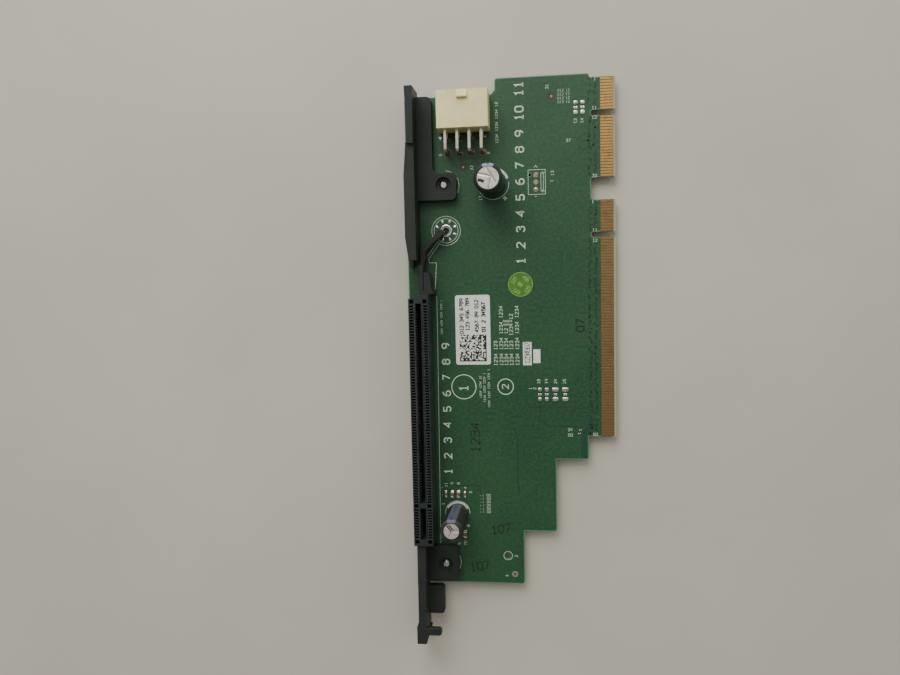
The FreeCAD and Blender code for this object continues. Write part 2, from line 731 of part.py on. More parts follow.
def make_pins(label, level, drop):
    """One row of pins: out of the sockets, back and down through the board."""
    body = new_body(label)
    half = D.pin_wide / 2
    tip = header_mouth - D.pin_front
    end = bottom - D.pin_below
    sketch = new_sketch(body, "YZ_Plane", pin_first - half)
    add_outline(sketch, [(tip, level - half + 0.25), (tip, level + half - 0.25), (tip - 0.5, level + half),
                         (drop + 0.3, level + half), (drop - half, level - 0.3),
                         (drop - half, end), (drop + half, end), (drop + half, level - half),
                         (tip - 0.5, level - half)])
    pin = pad(body, sketch, D.pin_wide)
    row_of(body, [pin], "X_Axis", D.header_pitch, 4)


# ---------------------------------------------------------------- guide brackets

def cut_screw_seat(body, x, y):
    """The screw comes up through the ear; its tip shows in a round recess."""
    sketch = new_sketch(body, offset=D.plate_tall)
    add_circle(sketch, x, y, shank_bore)
    pocket(body, sketch, D.plate_tall)
    sketch = new_sketch(body, offset=D.plate_tall)
    add_circle(sketch, x, y, D.sink_wide)
    return pocket(body, sketch, D.sink_deep)


def make_upper_bracket():
    body = new_body("guide_bracket_upper")
    # the wall in plan, bulging to the left along the guide rail
    sketch = new_sketch(body)
    add_outline(sketch, [(D.wall_right, upper_end), (D.wall_right, upper_step),
                         (D.wall_left + 0.9, upper_step), (D.wall_left, upper_step - 11.5),
                         (D.wall_left, upper_end + 8.1), (D.wall_left + 1.05, upper_end)])
    pad(body, sketch, D.wall_tall)
    sketch = new_sketch(body)
    add_outline(sketch, [(D.wall_thin, upper_step - 0.6), (D.wall_right, upper_step - 0.6),
                         (D.wall_right, upper_top), (D.wall_thin - 0.35, upper_top),
                         (D.wall_thin, upper_top - 11.5)])
    pad(body, sketch, D.wall_tall + D.wall_step)
    # the flange on the board and its ear
    sketch = new_sketch(body)
    flange_top = head_edge - 0.3
    add_outline(sketch, [(D.wall_right - 1, flange_top), (D.wall_right - 1, ear_bottom),
                         (D.ear_right, ear_bottom), (D.ear_right, ear_top),
                         (D.flange_right, ear_top), (D.flange_right, flange_top)])
    plate = pad(body, sketch, D.plate_tall)
    round_edges(body, plate, upright_edges(plate.Shape, [
        (D.ear_right, ear_bottom), (D.ear_right, ear_top), (D.flange_right, ear_top),
        (D.flange_right, flange_top)]), D.ear_corner)
    # the low toe at the rail's end
    sketch = new_sketch(body)
    add_rectangle(sketch, D.wall_left + 0.1, upper_end - 2.1, D.wall_left + 1.5, upper_end + 1)
    pad(body, sketch, D.plate_tall - 1)
    cut_screw_seat(body, D.screw_x, screw_y)


def make_lower_bracket():
    body = new_body("guide_bracket_lower")
    foot = -D.lower_end
    sketch = new_sketch(body)
    add_outline(sketch, [(D.lower_left, D.slot_start), (D.lower_right + 0.4, D.slot_start),
                         (D.lower_right, 0), (D.lower_right, foot + D.hook_up),
                         (D.lower_right + 0.7, foot + D.hook_up), (D.lower_right - 0.2, foot),
                         (D.lower_left - 0.8, foot), (D.lower_left - 0.8, foot + 6.4),
                         (D.lower_left - 0.1, foot + 8.2)])
    pad(body, sketch, D.wall_tall)
    # the hook, a thin tab flush with the wall's top
    sketch = new_sketch(body, offset=D.wall_tall - D.hook_deep)
    add_rectangle(sketch, D.lower_right - 1, foot + D.hook_up, D.lower_right + D.hook_reach,
                  foot + D.hook_up + D.hook_wide)
    hook = pad(body, sketch, D.hook_deep)
    round_edges(body, hook, upright_edges(hook.Shape, [
        (D.lower_right + D.hook_reach, foot + D.hook_up),
        (D.lower_right + D.hook_reach, foot + D.hook_up + D.hook_wide)]), D.hook_wide * 0.37)
    # the ear on the board, and the lug below the board's end
    sketch = new_sketch(body)
    add_rectangle(sketch, D.lower_right - 1, D.lower_ear_bottom, D.lower_ear_right, D.lower_ear_top)
    add_rectangle(sketch, D.lower_right - 1, -D.lug_top - D.lug_long, D.lug_right, -D.lug_top)
    plate = pad(body, sketch, D.plate_tall)
    plate = round_edges(body, plate, upright_edges(plate.Shape, [
        (D.lower_ear_right, D.lower_ear_bottom), (D.lower_ear_right, D.lower_ear_top)]), D.ear_corner)
    round_edges(body, plate, upright_edges(plate.Shape, [
        (D.lug_right, -D.lug_top), (D.lug_right, -D.lug_top - D.lug_long)]), D.lug_corner)
    cut_screw_seat(body, D.screw_low_x, D.screw_low_y)


def make_screws():
    """Two pan-head screws driven from below, with conical tips."""
    tip = D.plate_tall - D.sink_deep + 0.4
    head = bottom - D.screw_head_tall
    solids = []
    for x, y in ((D.screw_x, screw_y), (D.screw_low_x, D.screw_low_y)):
        r, big = D.screw_wide.number / 2, D.screw_head.number / 2
        profile = [V(0, 0, head.number), V(big - 0.6, 0, head.number), V(big, 0, head.number + 0.6),
                   V(big, 0, bottom.number), V(r, 0, bottom.number), V(r, 0, tip.number - 0.5),
                   V(r - 0.5, 0, tip.number), V(0, 0, tip.number), V(0, 0, head.number)]
        solid = Part.Face(Part.makePolygon(profile)).revolve(V(0, 0, 0), V(0, 0, 1), 360)
        # cross recess in the head
        for turn in (0, 90):
            blade = Part.makeBox(0.7, 2.8, 0.9, V(-0.35, -1.4, head.number))
            blade.rotate(V(0, 0, 0), V(0, 0, 1), turn)
            solid = solid.cut(blade)
        solid.translate(V(x.number, y.number, 0))
        solids.append(solid)
    feature = doc.addObject("Part::Feature", "bracket_screws")
    feature.Label = "bracket_screws"
    feature.Shape = Part.makeCompound(solids)
    NODES.append(feature)


# ---------------------------------------------------------------- capacitors

def add_groove(sketch, across, near, far, turn):
    """A straight groove, turned about the can's axis by an angle in degrees."""
    half = D.vent_wide / 2
    c, s = math.cos(math.radians(turn)), math.sin(math.radians(turn))
    corners = [(near, across - half), (far, across - half), (far, across + half), (near, across + half)]
    add_outline(sketch, [(along * c - side * s, along * s + side * c) for along, side in corners])


def barred_vent(reach):
    """A bar beside the axis, and two branches that leave its middle at right angles to each other."""
    turn = D.vent_turn.number
    lead = D.vent_shift * 0.7071
    return [(D.vent_shift, -0.8 * reach, 0.8 * reach, turn + 90),
            (-lead, 0.1 - lead, reach - 0.25, turn + 45), (lead, 0.1 - lead, reach - 0.25, turn - 45)]


def starred_vent(reach):
    """Three branches from the axis."""
    return [(0, 0.12, reach, turn) for turn in (5, 125, 245)]


def make_electrolytic(name, x, y, wide, tall, spread, vent):
    """Can, shrink sleeve, rubber bung and two leads, turned about the can's own axis."""
    outer = wide / 2
    metal = outer - D.sleeve_thick
    lip = D.bung_tall
    groove = [(metal, lip + 1.3), (metal - 0.35, lip + 1.8), (metal, lip + 2.3)]

    can = new_body(name + "_can")
    sketch = new_sketch(can, "XZ_Plane")
    crown = tall - D.sleeve_thick
    add_outline(sketch, [(0, lip), (metal - 0.5, lip), (metal, lip + 0.5)] + groove
                + [(metal, crown - D.can_round), (metal - D.can_round, crown), (0, crown)])
    revolve(can, sketch)
    # the scored vent, one groove at a time
    reach = outer - D.sleeve_rim - 0.35
    for across, near, far, turn in vent(reach):
        sketch = new_sketch(can, offset=crown)
        add_groove(sketch, across, near, far, turn)
        pocket(can, sketch, D.vent_deep)

    sleeve = new_body(name + "_sleeve")
    sketch = new_sketch(sleeve, "XZ_Plane")
    inside = [(metal, lip + 0.5)] + groove + [(metal, crown - D.can_round), (metal - D.can_round, crown)]
    outside = [(px + D.sleeve_thick, pz) for px, pz in [(metal, lip + 0.5)] + groove]
    add_outline(sketch, inside + [(outer - D.sleeve_rim, crown), (outer - D.sleeve_rim, tall),
                                  (outer - D.can_round, tall), (outer, tall - D.can_round)] + outside[::-1])
    revolve(sleeve, sketch)

    bung = new_body(name + "_bung")
    sketch = new_sketch(bung)
    add_circle(sketch, 0, 0, wide - 2)
    pad(bung, sketch, lip)

    leads = new_body(name + "_leads")
    sketch = new_sketch(leads, offset=bottom - D.lead_below)
    for side in (-1, 1):
        add_circle(sketch, 0, side * spread / 2, D.lead_wide)
    pad(leads, sketch, D.lead_below + D.board_thick)

    for piece in (can, sleeve, bung, leads):
        move(piece, x, y, 0)


def make_chips():
    """Ceramic chip capacitors: a brown body between two metal ends."""
    cases = [(D.chip_first, D.chip_y, 0.8, 1.6), (D.chip_first + D.chip_pitch, D.chip_y, 1.25, 2.0),
             (D.chip_first + 2 * D.chip_pitch, D.chip_y, 1.25, 2.0),
             (D.chip_first + 3 * D.chip_pitch, D.chip_y, 0.8, 1.6), (D.chip_tail_x, D.chip_tail_y, 1.25, 2.0)]
    bodies = new_body("ceramic_capacitor_bodies")
    ends = new_body("ceramic_capacitor_terminals")
    for x, y, wide, length in cases:
        cap = D.chip_end
        sketch = new_sketch(bodies)
        add_rectangle(sketch, x - wide / 2, y - (length / 2 - cap), x + wide / 2, y + (length / 2 - cap))
        pad(bodies, sketch, wide * 0.75)
        sketch = new_sketch(ends)
        for side in (-1, 1):
            inner, outer = y + side * (length / 2 - cap), y + side * length / 2
            low, high = (outer, inner) if side < 0 else (inner, outer)
            add_rectangle(sketch, x - wide / 2, low, x + wide / 2, high)
        pad(ends, sketch, wide * 0.75)


# ---------------------------------------------------------------- labels

def make_label(label, left, low, wide, length):
    body = new_body(label)
    sketch = new_sketch(body)
    add_rectangle(sketch, left, low, left + wide, low + length)
    pad(body, sketch, D.label_thick)


def make_sticker():
    body = new_body("inspection_sticker")
    sketch = new_sketch(body)
    add_circle(sketch, D.sticker_x, D.sticker_y, D.sticker_wide)
    pad(body, sketch, D.label_thick)


# ---------------------------------------------------------------- setting down

def move(piece, x, y, z):
    """Adds to a piece's placement; every coordinate stays tied to the sheet."""
    old = getattr(move, "placed", {})
    move.placed = old
    before = old.get(piece.Name, (Size.of(0), Size.of(0), Size.of(0)))
    now = tuple(Size.of(a) + Size.of(b) for a, b in zip(before, (x, y, z)))
    old[piece.Name] = now
    piece.Placement = FreeCAD.Placement(V(now[0].number, now[1].number, now[2].number), FreeCAD.Rotation())
    for axis, size in zip("xyz", now):
        piece.setExpression("Placement.Base.%s" % axis, size.text)


make_board()
make_fingers("edge_contacts_x4_top", short_first, short_restart, D.after_key_short, False)
make_fingers("edge_contacts_x4_bottom", short_first, short_restart, D.after_key_short, True)
make_fingers("edge_contacts_x16_top", long_first, long_restart, D.after_key_long, False)
make_fingers("edge_contacts_x16_bottom", long_first, long_restart, D.after_key_long, True)
make_slot_housing()
make_contacts("slot_contacts_left", -1)
make_contacts("slot_contacts_right", 1)
make_latch()
make_ring()
make_header()
make_pins("power_pins_upper", header_high, pin_far)
make_pins("power_pins_lower", D.header_low, pin_near)
make_upper_bracket()
make_lower_bracket()
make_screws()
make_electrolytic("large_capacitor", D.big_x, big_y, D.big_wide, D.big_tall, D.big_lead_pitch,
                  barred_vent)
make_electrolytic("small_capacitor", D.small_x, D.small_y, D.small_wide, D.small_tall,
                  D.small_lead_pitch, starred_vent)
make_chips()
make_label("address_label", D.label_left, D.label_low, D.label_wide, D.label_long)
make_label("code_tag", D.tag_left, D.tag_low, D.tag_wide, D.tag_long)
make_label("code_strip", D.strip_left, D.strip_low, D.strip_wide, D.strip_long)
make_sticker()

# the origin goes under the middle of the bounding box
middle_x = D.board_width / 2
middle_y = (D.board_length - D.lower_end) / 2
lowest = bottom - D.screw_head_tall
for piece in NODES:
    move(piece, -middle_x, -middle_y, -lowest)
doc.recompute()

for item in doc.Objects:
    if "Invalid" in item.State or "Error" in item.State:
        raise RuntimeError("%s failed: %s" % (item.Name, item.State))
for piece in NODES:
    shape = piece.Shape
    if shape.isNull() or not shape.isValid():
        raise RuntimeError("%s has no valid shape" % piece.Label)
os.makedirs("parts", exist_ok=True)
for piece in NODES:
    piece.Shape.exportStep("parts/%s.step" % piece.Label)
    print("%-30s %3d solids  %10.2f mm3" % (piece.Label, len(piece.Shape.Solids), piece.Shape.Volume))
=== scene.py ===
"""Finishes and fine detail of a server riser card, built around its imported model.

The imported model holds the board, the card slot, the header, the brackets, the capacitors and the labels at
their real size. This script gives each of them its surface, and adds what is printed, plated or soldered on
the board: white marks, traces and vias under the mask, bare pads, solder joints, label print and can marks.
"""

from __future__ import annotations

import json
import logging
import math
import random
from abc import ABC, abstractmethod
from dataclasses import dataclass
from enum import Enum
from typing import Iterator, Sequence, Union

import bmesh
import bpy
from mathutils import Euler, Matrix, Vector

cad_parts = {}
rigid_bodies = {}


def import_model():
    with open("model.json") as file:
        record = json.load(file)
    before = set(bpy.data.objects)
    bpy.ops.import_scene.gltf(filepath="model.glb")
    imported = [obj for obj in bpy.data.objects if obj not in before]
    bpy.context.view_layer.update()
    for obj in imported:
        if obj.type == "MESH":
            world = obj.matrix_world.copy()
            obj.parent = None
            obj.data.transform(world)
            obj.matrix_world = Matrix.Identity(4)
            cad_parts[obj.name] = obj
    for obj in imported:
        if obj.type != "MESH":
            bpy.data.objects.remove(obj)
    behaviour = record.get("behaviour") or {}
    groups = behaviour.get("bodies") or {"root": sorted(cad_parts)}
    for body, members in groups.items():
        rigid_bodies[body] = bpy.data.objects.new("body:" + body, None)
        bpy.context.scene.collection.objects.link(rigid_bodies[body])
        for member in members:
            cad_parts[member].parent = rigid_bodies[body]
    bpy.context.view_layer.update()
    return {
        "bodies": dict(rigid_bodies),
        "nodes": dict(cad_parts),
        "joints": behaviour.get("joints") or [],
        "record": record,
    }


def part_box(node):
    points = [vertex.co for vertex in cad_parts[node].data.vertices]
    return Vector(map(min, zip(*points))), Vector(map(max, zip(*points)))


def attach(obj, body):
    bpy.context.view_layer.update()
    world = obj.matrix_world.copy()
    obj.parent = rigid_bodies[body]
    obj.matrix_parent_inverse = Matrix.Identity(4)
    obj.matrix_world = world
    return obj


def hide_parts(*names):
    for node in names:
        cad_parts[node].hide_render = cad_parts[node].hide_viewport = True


LOG = logging.getLogger("riser_card")
MM = 0.001
BEVEL_SAMPLES = 6
FLAT_FROM = 0.7

Point = tuple[float, float]
Box = tuple[float, float, float, float]
Text = tuple[float, float, str]
Colour = tuple[float, float, float]
Socket = bpy.types.NodeSocket
Value = Union[Socket, float]


class Slot(Enum):
    """The record's material slots, named for the added pieces but not given to them."""

    BOARD = "board"
    TIN = "tin"
    CAN = "can"
    PAPER = "paper"
    STICKER = "sticker"


class Face(Enum):
    """A face of the board, with the sign of its outward direction."""

    TOP = 1.0
    BOTTOM = -1.0


class MixKind(Enum):
    """What a Mix node mixes: its data type, and the places of its two inputs and of its output."""

    NUMBER = ("FLOAT", 2, 3, 0)
    COLOUR = ("RGBA", 6, 7, 2)


class Reading(Enum):
    """The way a row of digits runs, as the angle of its baseline."""

    ACROSS = 0.0
    UP = 90.0


def srgb(red: int, green: int, blue: int) -> Colour:
    """Turns a display colour into the linear one that shaders take.

    Args:
        red: Red from 0 to 255.
        green: Green from 0 to 255.
        blue: Blue from 0 to 255.

    Returns:
        The linear colour.
    """
    shares = (channel / 255.0 for channel in (red, green, blue))
    linear = tuple(c / 12.92 if c <= 0.04045 else ((c + 0.055) / 1.055) ** 2.4 for c in shares)
    return linear[0], linear[1], linear[2]


# ---------------------------------------------------------------------------------------------------------
# Finishes
# ---------------------------------------------------------------------------------------------------------


class Recipe:
    """One material's node tree, with short calls for what the finishes share. Lengths are in millimetres."""

    def __init__(self, name: str) -> None:
        """Starts a material that holds only its shader.

        Args:
            name: The material's name.
        """
        self.material = bpy.data.materials.new(name)
        self.material.use_nodes = True
        self.tree = self.material.node_tree
        self.shader = self.tree.nodes["Principled BSDF"]
        place = self.node("ShaderNodeTexCoord").outputs["Object"]
        scale = self.node("ShaderNodeVectorMath", operation="SCALE")
        scale.inputs["Scale"].default_value = 1.0 / MM
        self.tree.links.new(place, scale.inputs[0])
        self.place = scale.outputs[0]

    def node(self, kind: str, **settings: object) -> bpy.types.Node:
        """Adds a node.

        Args:
            kind: The node's type.
            **settings: Properties to set on it.

        Returns:
            The node.
        """
        node = self.tree.nodes.new(kind)
        for key, value in settings.items():
            setattr(node, key, value)
        return node

    def feed(self, socket: Socket, value: Union[Value, Colour]) -> None:
        """Links an output to a socket, or sets the socket to a number or colour.

        Args:
            socket: The input socket.
            value: An output socket, a number or a colour.
        """
        if isinstance(value, bpy.types.NodeSocket):
            self.tree.links.new(value, socket)
        elif isinstance(value, tuple) and socket.type == "RGBA":
            socket.default_value = (*value, 1.0)
        else:
            socket.default_value = value

    def math(self, operation: str, first: Value, second: Value = 0.0, clamp: bool = False) -> Socket:
        """Adds a Math node.

        Args:
            operation: The node's operation.
            first: Its first input.
            second: Its second input.
            clamp: Whether the result stays from 0 to 1.

        Returns:
            The result.
        """
        node = self.node("ShaderNodeMath", operation=operation, use_clamp=clamp)
        self.feed(node.inputs[0], first)
        self.feed(node.inputs[1], second)
        return node.outputs[0]

    def plus(self, first: Value, second: Value) -> Socket:
        """Returns the sum of two numbers."""
        return self.math("ADD", first, second)

    def minus(self, first: Value, second: Value) -> Socket:
        """Returns the first number less the second."""
        return self.math("SUBTRACT", first, second)

    def times(self, first: Value, second: Value) -> Socket:
        """Returns the product of two numbers."""
        return self.math("MULTIPLY", first, second)

    def between(self, value: Value, low: Value, high: Value) -> Socket:
        """Tests whether a value lies between two limits.

        Args:
            value: The value.
            low: The lower limit.
            high: The upper limit.

        Returns:
            1 where it does and 0 elsewhere.
        """
        above = self.math("GREATER_THAN", value, low)
        below = self.math("LESS_THAN", value, high)
        return self.times(above, below)

    def part_of(self, vector: Socket, axis: str) -> Socket:
        """Takes one component out of a vector.

        Args:
            vector: The vector.
            axis: X, Y or Z.

        Returns:
            The component.
        """
        node = self.node("ShaderNodeSeparateXYZ")
        self.feed(node.inputs[0], vector)
        return node.outputs[axis]

    def along(self, axis: str) -> Socket:
        """Returns the position along X, Y or Z in millimetres."""
        return self.part_of(self.place, axis)

    def noise(self, size: float, detail: float = 2.0, stretch: Sequence[float] = (1.0, 1.0, 1.0)) -> Socket:
        """Adds a noise texture.

        Args:
            size: The width of its blotches.
            detail: The number of finer layers.
            stretch: How many times longer the blotches are along X, Y and Z.

        Returns:
            Its strength, about 0.5 on average.
        """
        shrink = self.node("ShaderNodeVectorMath", operation="MULTIPLY")
        self.feed(shrink.inputs[0], self.place)
        shrink.inputs[1].default_value = [1.0 / factor for factor in stretch]
        node = self.node("ShaderNodeTexNoise")
        self.feed(node.inputs["Vector"], shrink.outputs[0])
        node.inputs["Scale"].default_value = 1.0 / size
        node.inputs["Detail"].default_value = detail
        return node.outputs[0]

    def rise(self, value: Value, low: float, high: float) -> Socket:
        """Turns a value into a share that changes smoothly.

        Args:
            value: The value.
            low: Where the share is still 0.
            high: Where it reaches 1.

        Returns:
            The share.
        """
        node = self.node("ShaderNodeMapRange", interpolation_type="SMOOTHSTEP")
        self.feed(node.inputs["Value"], value)
        node.inputs["From Min"].default_value = low
        node.inputs["From Max"].default_value = high
        return node.outputs["Result"]

    def mix(self, factor: Value, first: Union[Socket, Colour], second: Union[Socket, Colour]) -> Socket:
        """Mixes two colours.

        Args:
            factor: How much of the second there is.
            first: A colour or an output.
            second: A colour or an output.

        Returns:
            The mixed colour.
        """
        return self._mixed(MixKind.COLOUR, factor, first, second)

    def blend(self, factor: Value, first: Value, second: Value) -> Socket:
        """Mixes two numbers.

        Args:
            factor: How much of the second there is.
            first: A number or an output.
            second: A number or an output.

        Returns:
            The mixed number.
        """
        return self._mixed(MixKind.NUMBER, factor, first, second)

    def _mixed(
        self, kind: MixKind, factor: Value, first: Union[Value, Colour], second: Union[Value, Colour]
    ) -> Socket:
        """Adds a Mix node.

        Args:
            kind: What it mixes.
            factor: How much of the second there is.
            first: What there is at 0.
            second: What there is at 1.

        Returns:
            The mixture.
        """
        data_type, one, two, out = kind.value
        node = self.node("ShaderNodeMix", data_type=data_type)
        self.feed(node.inputs[0], factor)
        self.feed(node.inputs[one], first)
        self.feed(node.inputs[two], second)
        return node.outputs[out]

    def bump(self, height: Socket, depth: float, under: Socket | None = None) -> Socket:
        """Turns a height into a normal.

        Args:
            height: The height, from 0 to 1.
            depth: How deep 1 is.
            under: A normal that the bump lies on.

        Returns:
            The bumped normal.
        """
        node = self.node("ShaderNodeBump")
        node.inputs["Distance"].default_value = depth * MM
        self.feed(node.inputs["Height"], height)
        if under is not None:
            self.feed(node.inputs["Normal"], under)
        return node.outputs[0]

    def soft_edge(self, radius: float) -> Socket:
        """Rounds sharp edges in the shading.

        Args:
            radius: The rounding's radius.

        Returns:
            The rounded normal.
        """
        node = self.node("ShaderNodeBevel", samples=BEVEL_SAMPLES)
        node.inputs["Radius"].default_value = radius * MM
        return node.outputs[0]

    def sharp_edge_nearness(self, radius: float, low: float = 0.02, high: float = 0.2) -> Socket:
        """Finds the surface next to sharp edges.

        Args:
            radius: How far from an edge it reaches.
            low: The bend of the normal up to which there is no edge.
            high: The bend from which the edge is full.

        Returns:
            How near the surface is to a sharp edge, from 0 to 1.
        """
        dot = self.node("ShaderNodeVectorMath", operation="DOT_PRODUCT")
        self.feed(dot.inputs[0], self.soft_edge(radius))
        self.feed(dot.inputs[1], self.node("ShaderNodeNewGeometry").outputs["Normal"])
        return self.rise(self.minus(1.0, dot.outputs["Value"]), low, high)

    def facing_up(self) -> Socket:
        """Tells the faces that look straight up or down from the upright ones.

        Returns:
            1 on the former and 0 on the latter.
        """
        normal = self.node("ShaderNodeNewGeometry").outputs["True Normal"]
        upright = self.math("ABSOLUTE", self.part_of(normal, "Z"))
        return self.math("GREATER_THAN", upright, FLAT_FROM)

    def from_axis(self, centre: Vector) -> tuple[Socket, Socket]:
        """Returns the distances along X and Y from an upright axis, in millimetres."""
        return self.minus(self.along("X"), centre.x / MM), self.minus(self.along("Y"), centre.y / MM)

    def around(self, centre: Vector) -> tuple[Socket, Socket]:
        """Measures the surface in polar terms about an upright axis.

        Args:
            centre: A point of the axis, in metres.

        Returns:
            The distance from the axis in millimetres, and the angle from +Y towards +X in degrees.
        """
        east, north = self.from_axis(centre)
        square = self.plus(self.times(east, east), self.times(north, north))
        turn = self.times(self.math("ARCTAN2", east, north), math.degrees(1.0))
        return self.math("SQRT", square), turn

    def dress(self, **sockets: Union[Value, Colour]) -> bpy.types.Material:
        """Sets or links the shader's sockets.

        Args:
            **sockets: A value for each socket, with underscores for the spaces in its name.

        Returns:
            The finished material.
        """
        for name, value in sockets.items():
            self.feed(self.shader.inputs[name.replace("_", " ")], value)
        return self.material


@dataclass(frozen=True)
class Groove:
    """A straight groove in a can's end.

    Attributes:
        across: Its distance from the axis.
        near: Where it starts along its own direction.
        far: Where it ends.
        turn: Its direction from +X, in degrees.
    """

    across: float
    near: float
    far: float
    turn: float


class Finish(ABC):
    """A surface finish."""

    @abstractmethod
    def material(self) -> bpy.types.Material:
        """Returns a new material with this finish."""


@dataclass(frozen=True)
class SolderMask(Finish):
    """Green mask over copper, paler along its rim, with bare laminate by the fingers and on the milled sides.

    Attributes:
        fingers_from: Where the fingers start, along X.
        fingers_to: Where they end.
        tongue_from: Where the bare side of the tongues starts.
    """

    fingers_from: float
    fingers_to: float
    tongue_from: float
    green: Colour = srgb(37, 73, 45)
    deep_green: Colour = srgb(30, 67, 42)
    rim: Colour = srgb(98, 142, 112)
    side: Colour = srgb(74, 120, 88)
    between: Colour = srgb(104, 80, 52)
    laminate: Colour = srgb(168, 160, 132)
    cloud_size: float = 34.0
    speck_size: float = 1.1
    speck_share: float = 0.08
    rim_wide: float = 0.7
    rim_share: float = 0.85
    ply_size: float = 0.16
    ply_share: float = 0.3

    def material(self) -> bpy.types.Material:
        """Builds the mask.

        Returns:
            Cloudy green with a faint orange-peel skin, and layered laminate where it is milled.
        """
        recipe = Recipe("solder_mask")
        cloud = recipe.rise(recipe.noise(self.cloud_size, 3.0), 0.35, 0.65)
        speck = recipe.rise(recipe.noise(self.speck_size, 2.0), 0.3, 0.75)
        face = recipe.mix(cloud, self.green, self.deep_green)
        face = recipe.mix(recipe.times(speck, self.speck_share), face, self.rim)
        rim = recipe.sharp_edge_nearness(self.rim_wide, low=0.006, high=0.05)
        face = recipe.mix(recipe.times(rim, self.rim_share), face, self.rim)
        inside = recipe.math("GREATER_THAN", recipe.along("X"), self.fingers_from)
        beyond = recipe.math("GREATER_THAN", recipe.along("X"), self.fingers_to)
        face = recipe.mix(beyond, recipe.mix(inside, face, self.between), self.laminate)
        ply = recipe.noise(self.ply_size, 2.0, (40.0, 40.0, 1.0))
        tongue = recipe.math("GREATER_THAN", recipe.along("X"), self.tongue_from)
        side = recipe.mix(tongue, self.side, self.laminate)
        side = recipe.mix(recipe.times(recipe.rise(ply, 0.4, 0.6), self.ply_share), side, self.green)
        flat = recipe.facing_up()
        return recipe.dress(
            Base_Color=recipe.mix(flat, side, face),
            Roughness=recipe.blend(flat, 0.8, recipe.blend(speck, 0.38, 0.46)),
            Specular_IOR_Level=0.4,
            Normal=recipe.bump(recipe.noise(1.6, 2.0), 0.008),
        )


@dataclass(frozen=True)
class UnderMask(Finish):
    """The same mask where it runs over a raised trace or a filled via."""

    name: str
    colour: Colour

    def material(self) -> bpy.types.Material:
        """Builds the mask over a trace.

        Returns:
            A slightly uneven green.
        """
        recipe = Recipe(self.name)
        fleck = recipe.rise(recipe.noise(0.8, 2.0), 0.3, 0.7)
        darker = tuple(0.7 * channel for channel in self.colour)
        return recipe.dress(
            Base_Color=recipe.mix(fleck, self.colour, darker),
            Roughness=recipe.blend(fleck, 0.34, 0.46),
            Specular_IOR_Level=0.42,
        )


@dataclass(frozen=True)
class Moulding(Finish):
    """Injection-moulded plastic with a fine grain, faint scuffs, and sharp edges painted lighter: partly
    rubbed wear, partly painted highlight.
    """

    name: str
    colour: Colour
    scuff_and_highlight_colour: Colour
    roughness: float = 0.5
    grain: float = 0.35
    grain_depth: float = 0.02
    edge: float = 0.22
    glow: float = 0.0
    glow_reach: float = 0.0015
    gloss: float = 0.4
    scuff_share: float = 0.12
    rubbed_and_highlit_share: float = 0.4

    def material(self) -> bpy.types.Material:
        """Builds the plastic.

        Returns:
            The moulded plastic.
        """
        recipe = Recipe(self.name)
        cloud = recipe.rise(recipe.noise(9.0, 3.0), 0.3, 0.7)
        shade = tuple(0.82 * channel for channel in self.colour)
        body = recipe.mix(cloud, self.colour, shade)
        scuff = recipe.rise(recipe.noise(0.7, 4.0, (1.0, 9.0, 3.0)), 0.62, 0.74)
        uneven = recipe.rise(recipe.noise(2.5, 2.0), 0.3, 0.7)
        # Painted highlight: every sharp edge is painted in the lighter colour, broken up by noise like rubbed
        # wear.
        rubbed_and_highlit_edge = recipe.times(recipe.sharp_edge_nearness(self.edge), uneven)
        scuffed = recipe.times(scuff, self.scuff_share)
        mark = recipe.math("ADD", scuffed, recipe.times(rubbed_and_highlit_edge, self.rubbed_and_highlit_share), clamp=True)
        grain = recipe.noise(self.grain, 2.0)
        return recipe.dress(
            Base_Color=recipe.mix(mark, body, self.scuff_and_highlight_colour),
            Roughness=recipe.blend(cloud, self.roughness, self.roughness * 0.86),
            Specular_IOR_Level=self.gloss,
            Subsurface_Weight=self.glow,
            Subsurface_Scale=self.glow_reach,
            Normal=recipe.bump(grain, self.grain_depth, recipe.soft_edge(self.edge)),
        )


@dataclass(frozen=True)
class Plating(Finish):
    """Metal with fine streaks along one direction and a patchy tarnish."""

    name: str
    colour: Colour
    tarnish: Colour
    roughness: float = 0.3
    streak: tuple[float, float, float] = (1.0, 1.0, 1.0)
    streak_size: float = 0.08
    streak_depth: float = 0.006
    patch: float = 3.0
    rounding: float = 0.06

    def material(self) -> bpy.types.Material:
        """Builds the metal.

        Returns:
            The plated metal.
        """
        recipe = Recipe(self.name)
        stain = recipe.rise(recipe.noise(self.patch, 4.0), 0.42, 0.72)
        line = recipe.noise(self.streak_size, 3.0, self.streak)
        return recipe.dress(
            Base_Color=recipe.mix(stain, self.colour, self.tarnish),
            Metallic=1.0,
            Roughness=recipe.blend(stain, self.roughness, self.roughness * 1.45),
            Normal=recipe.bump(line, self.streak_depth, recipe.soft_edge(self.rounding)),
        )


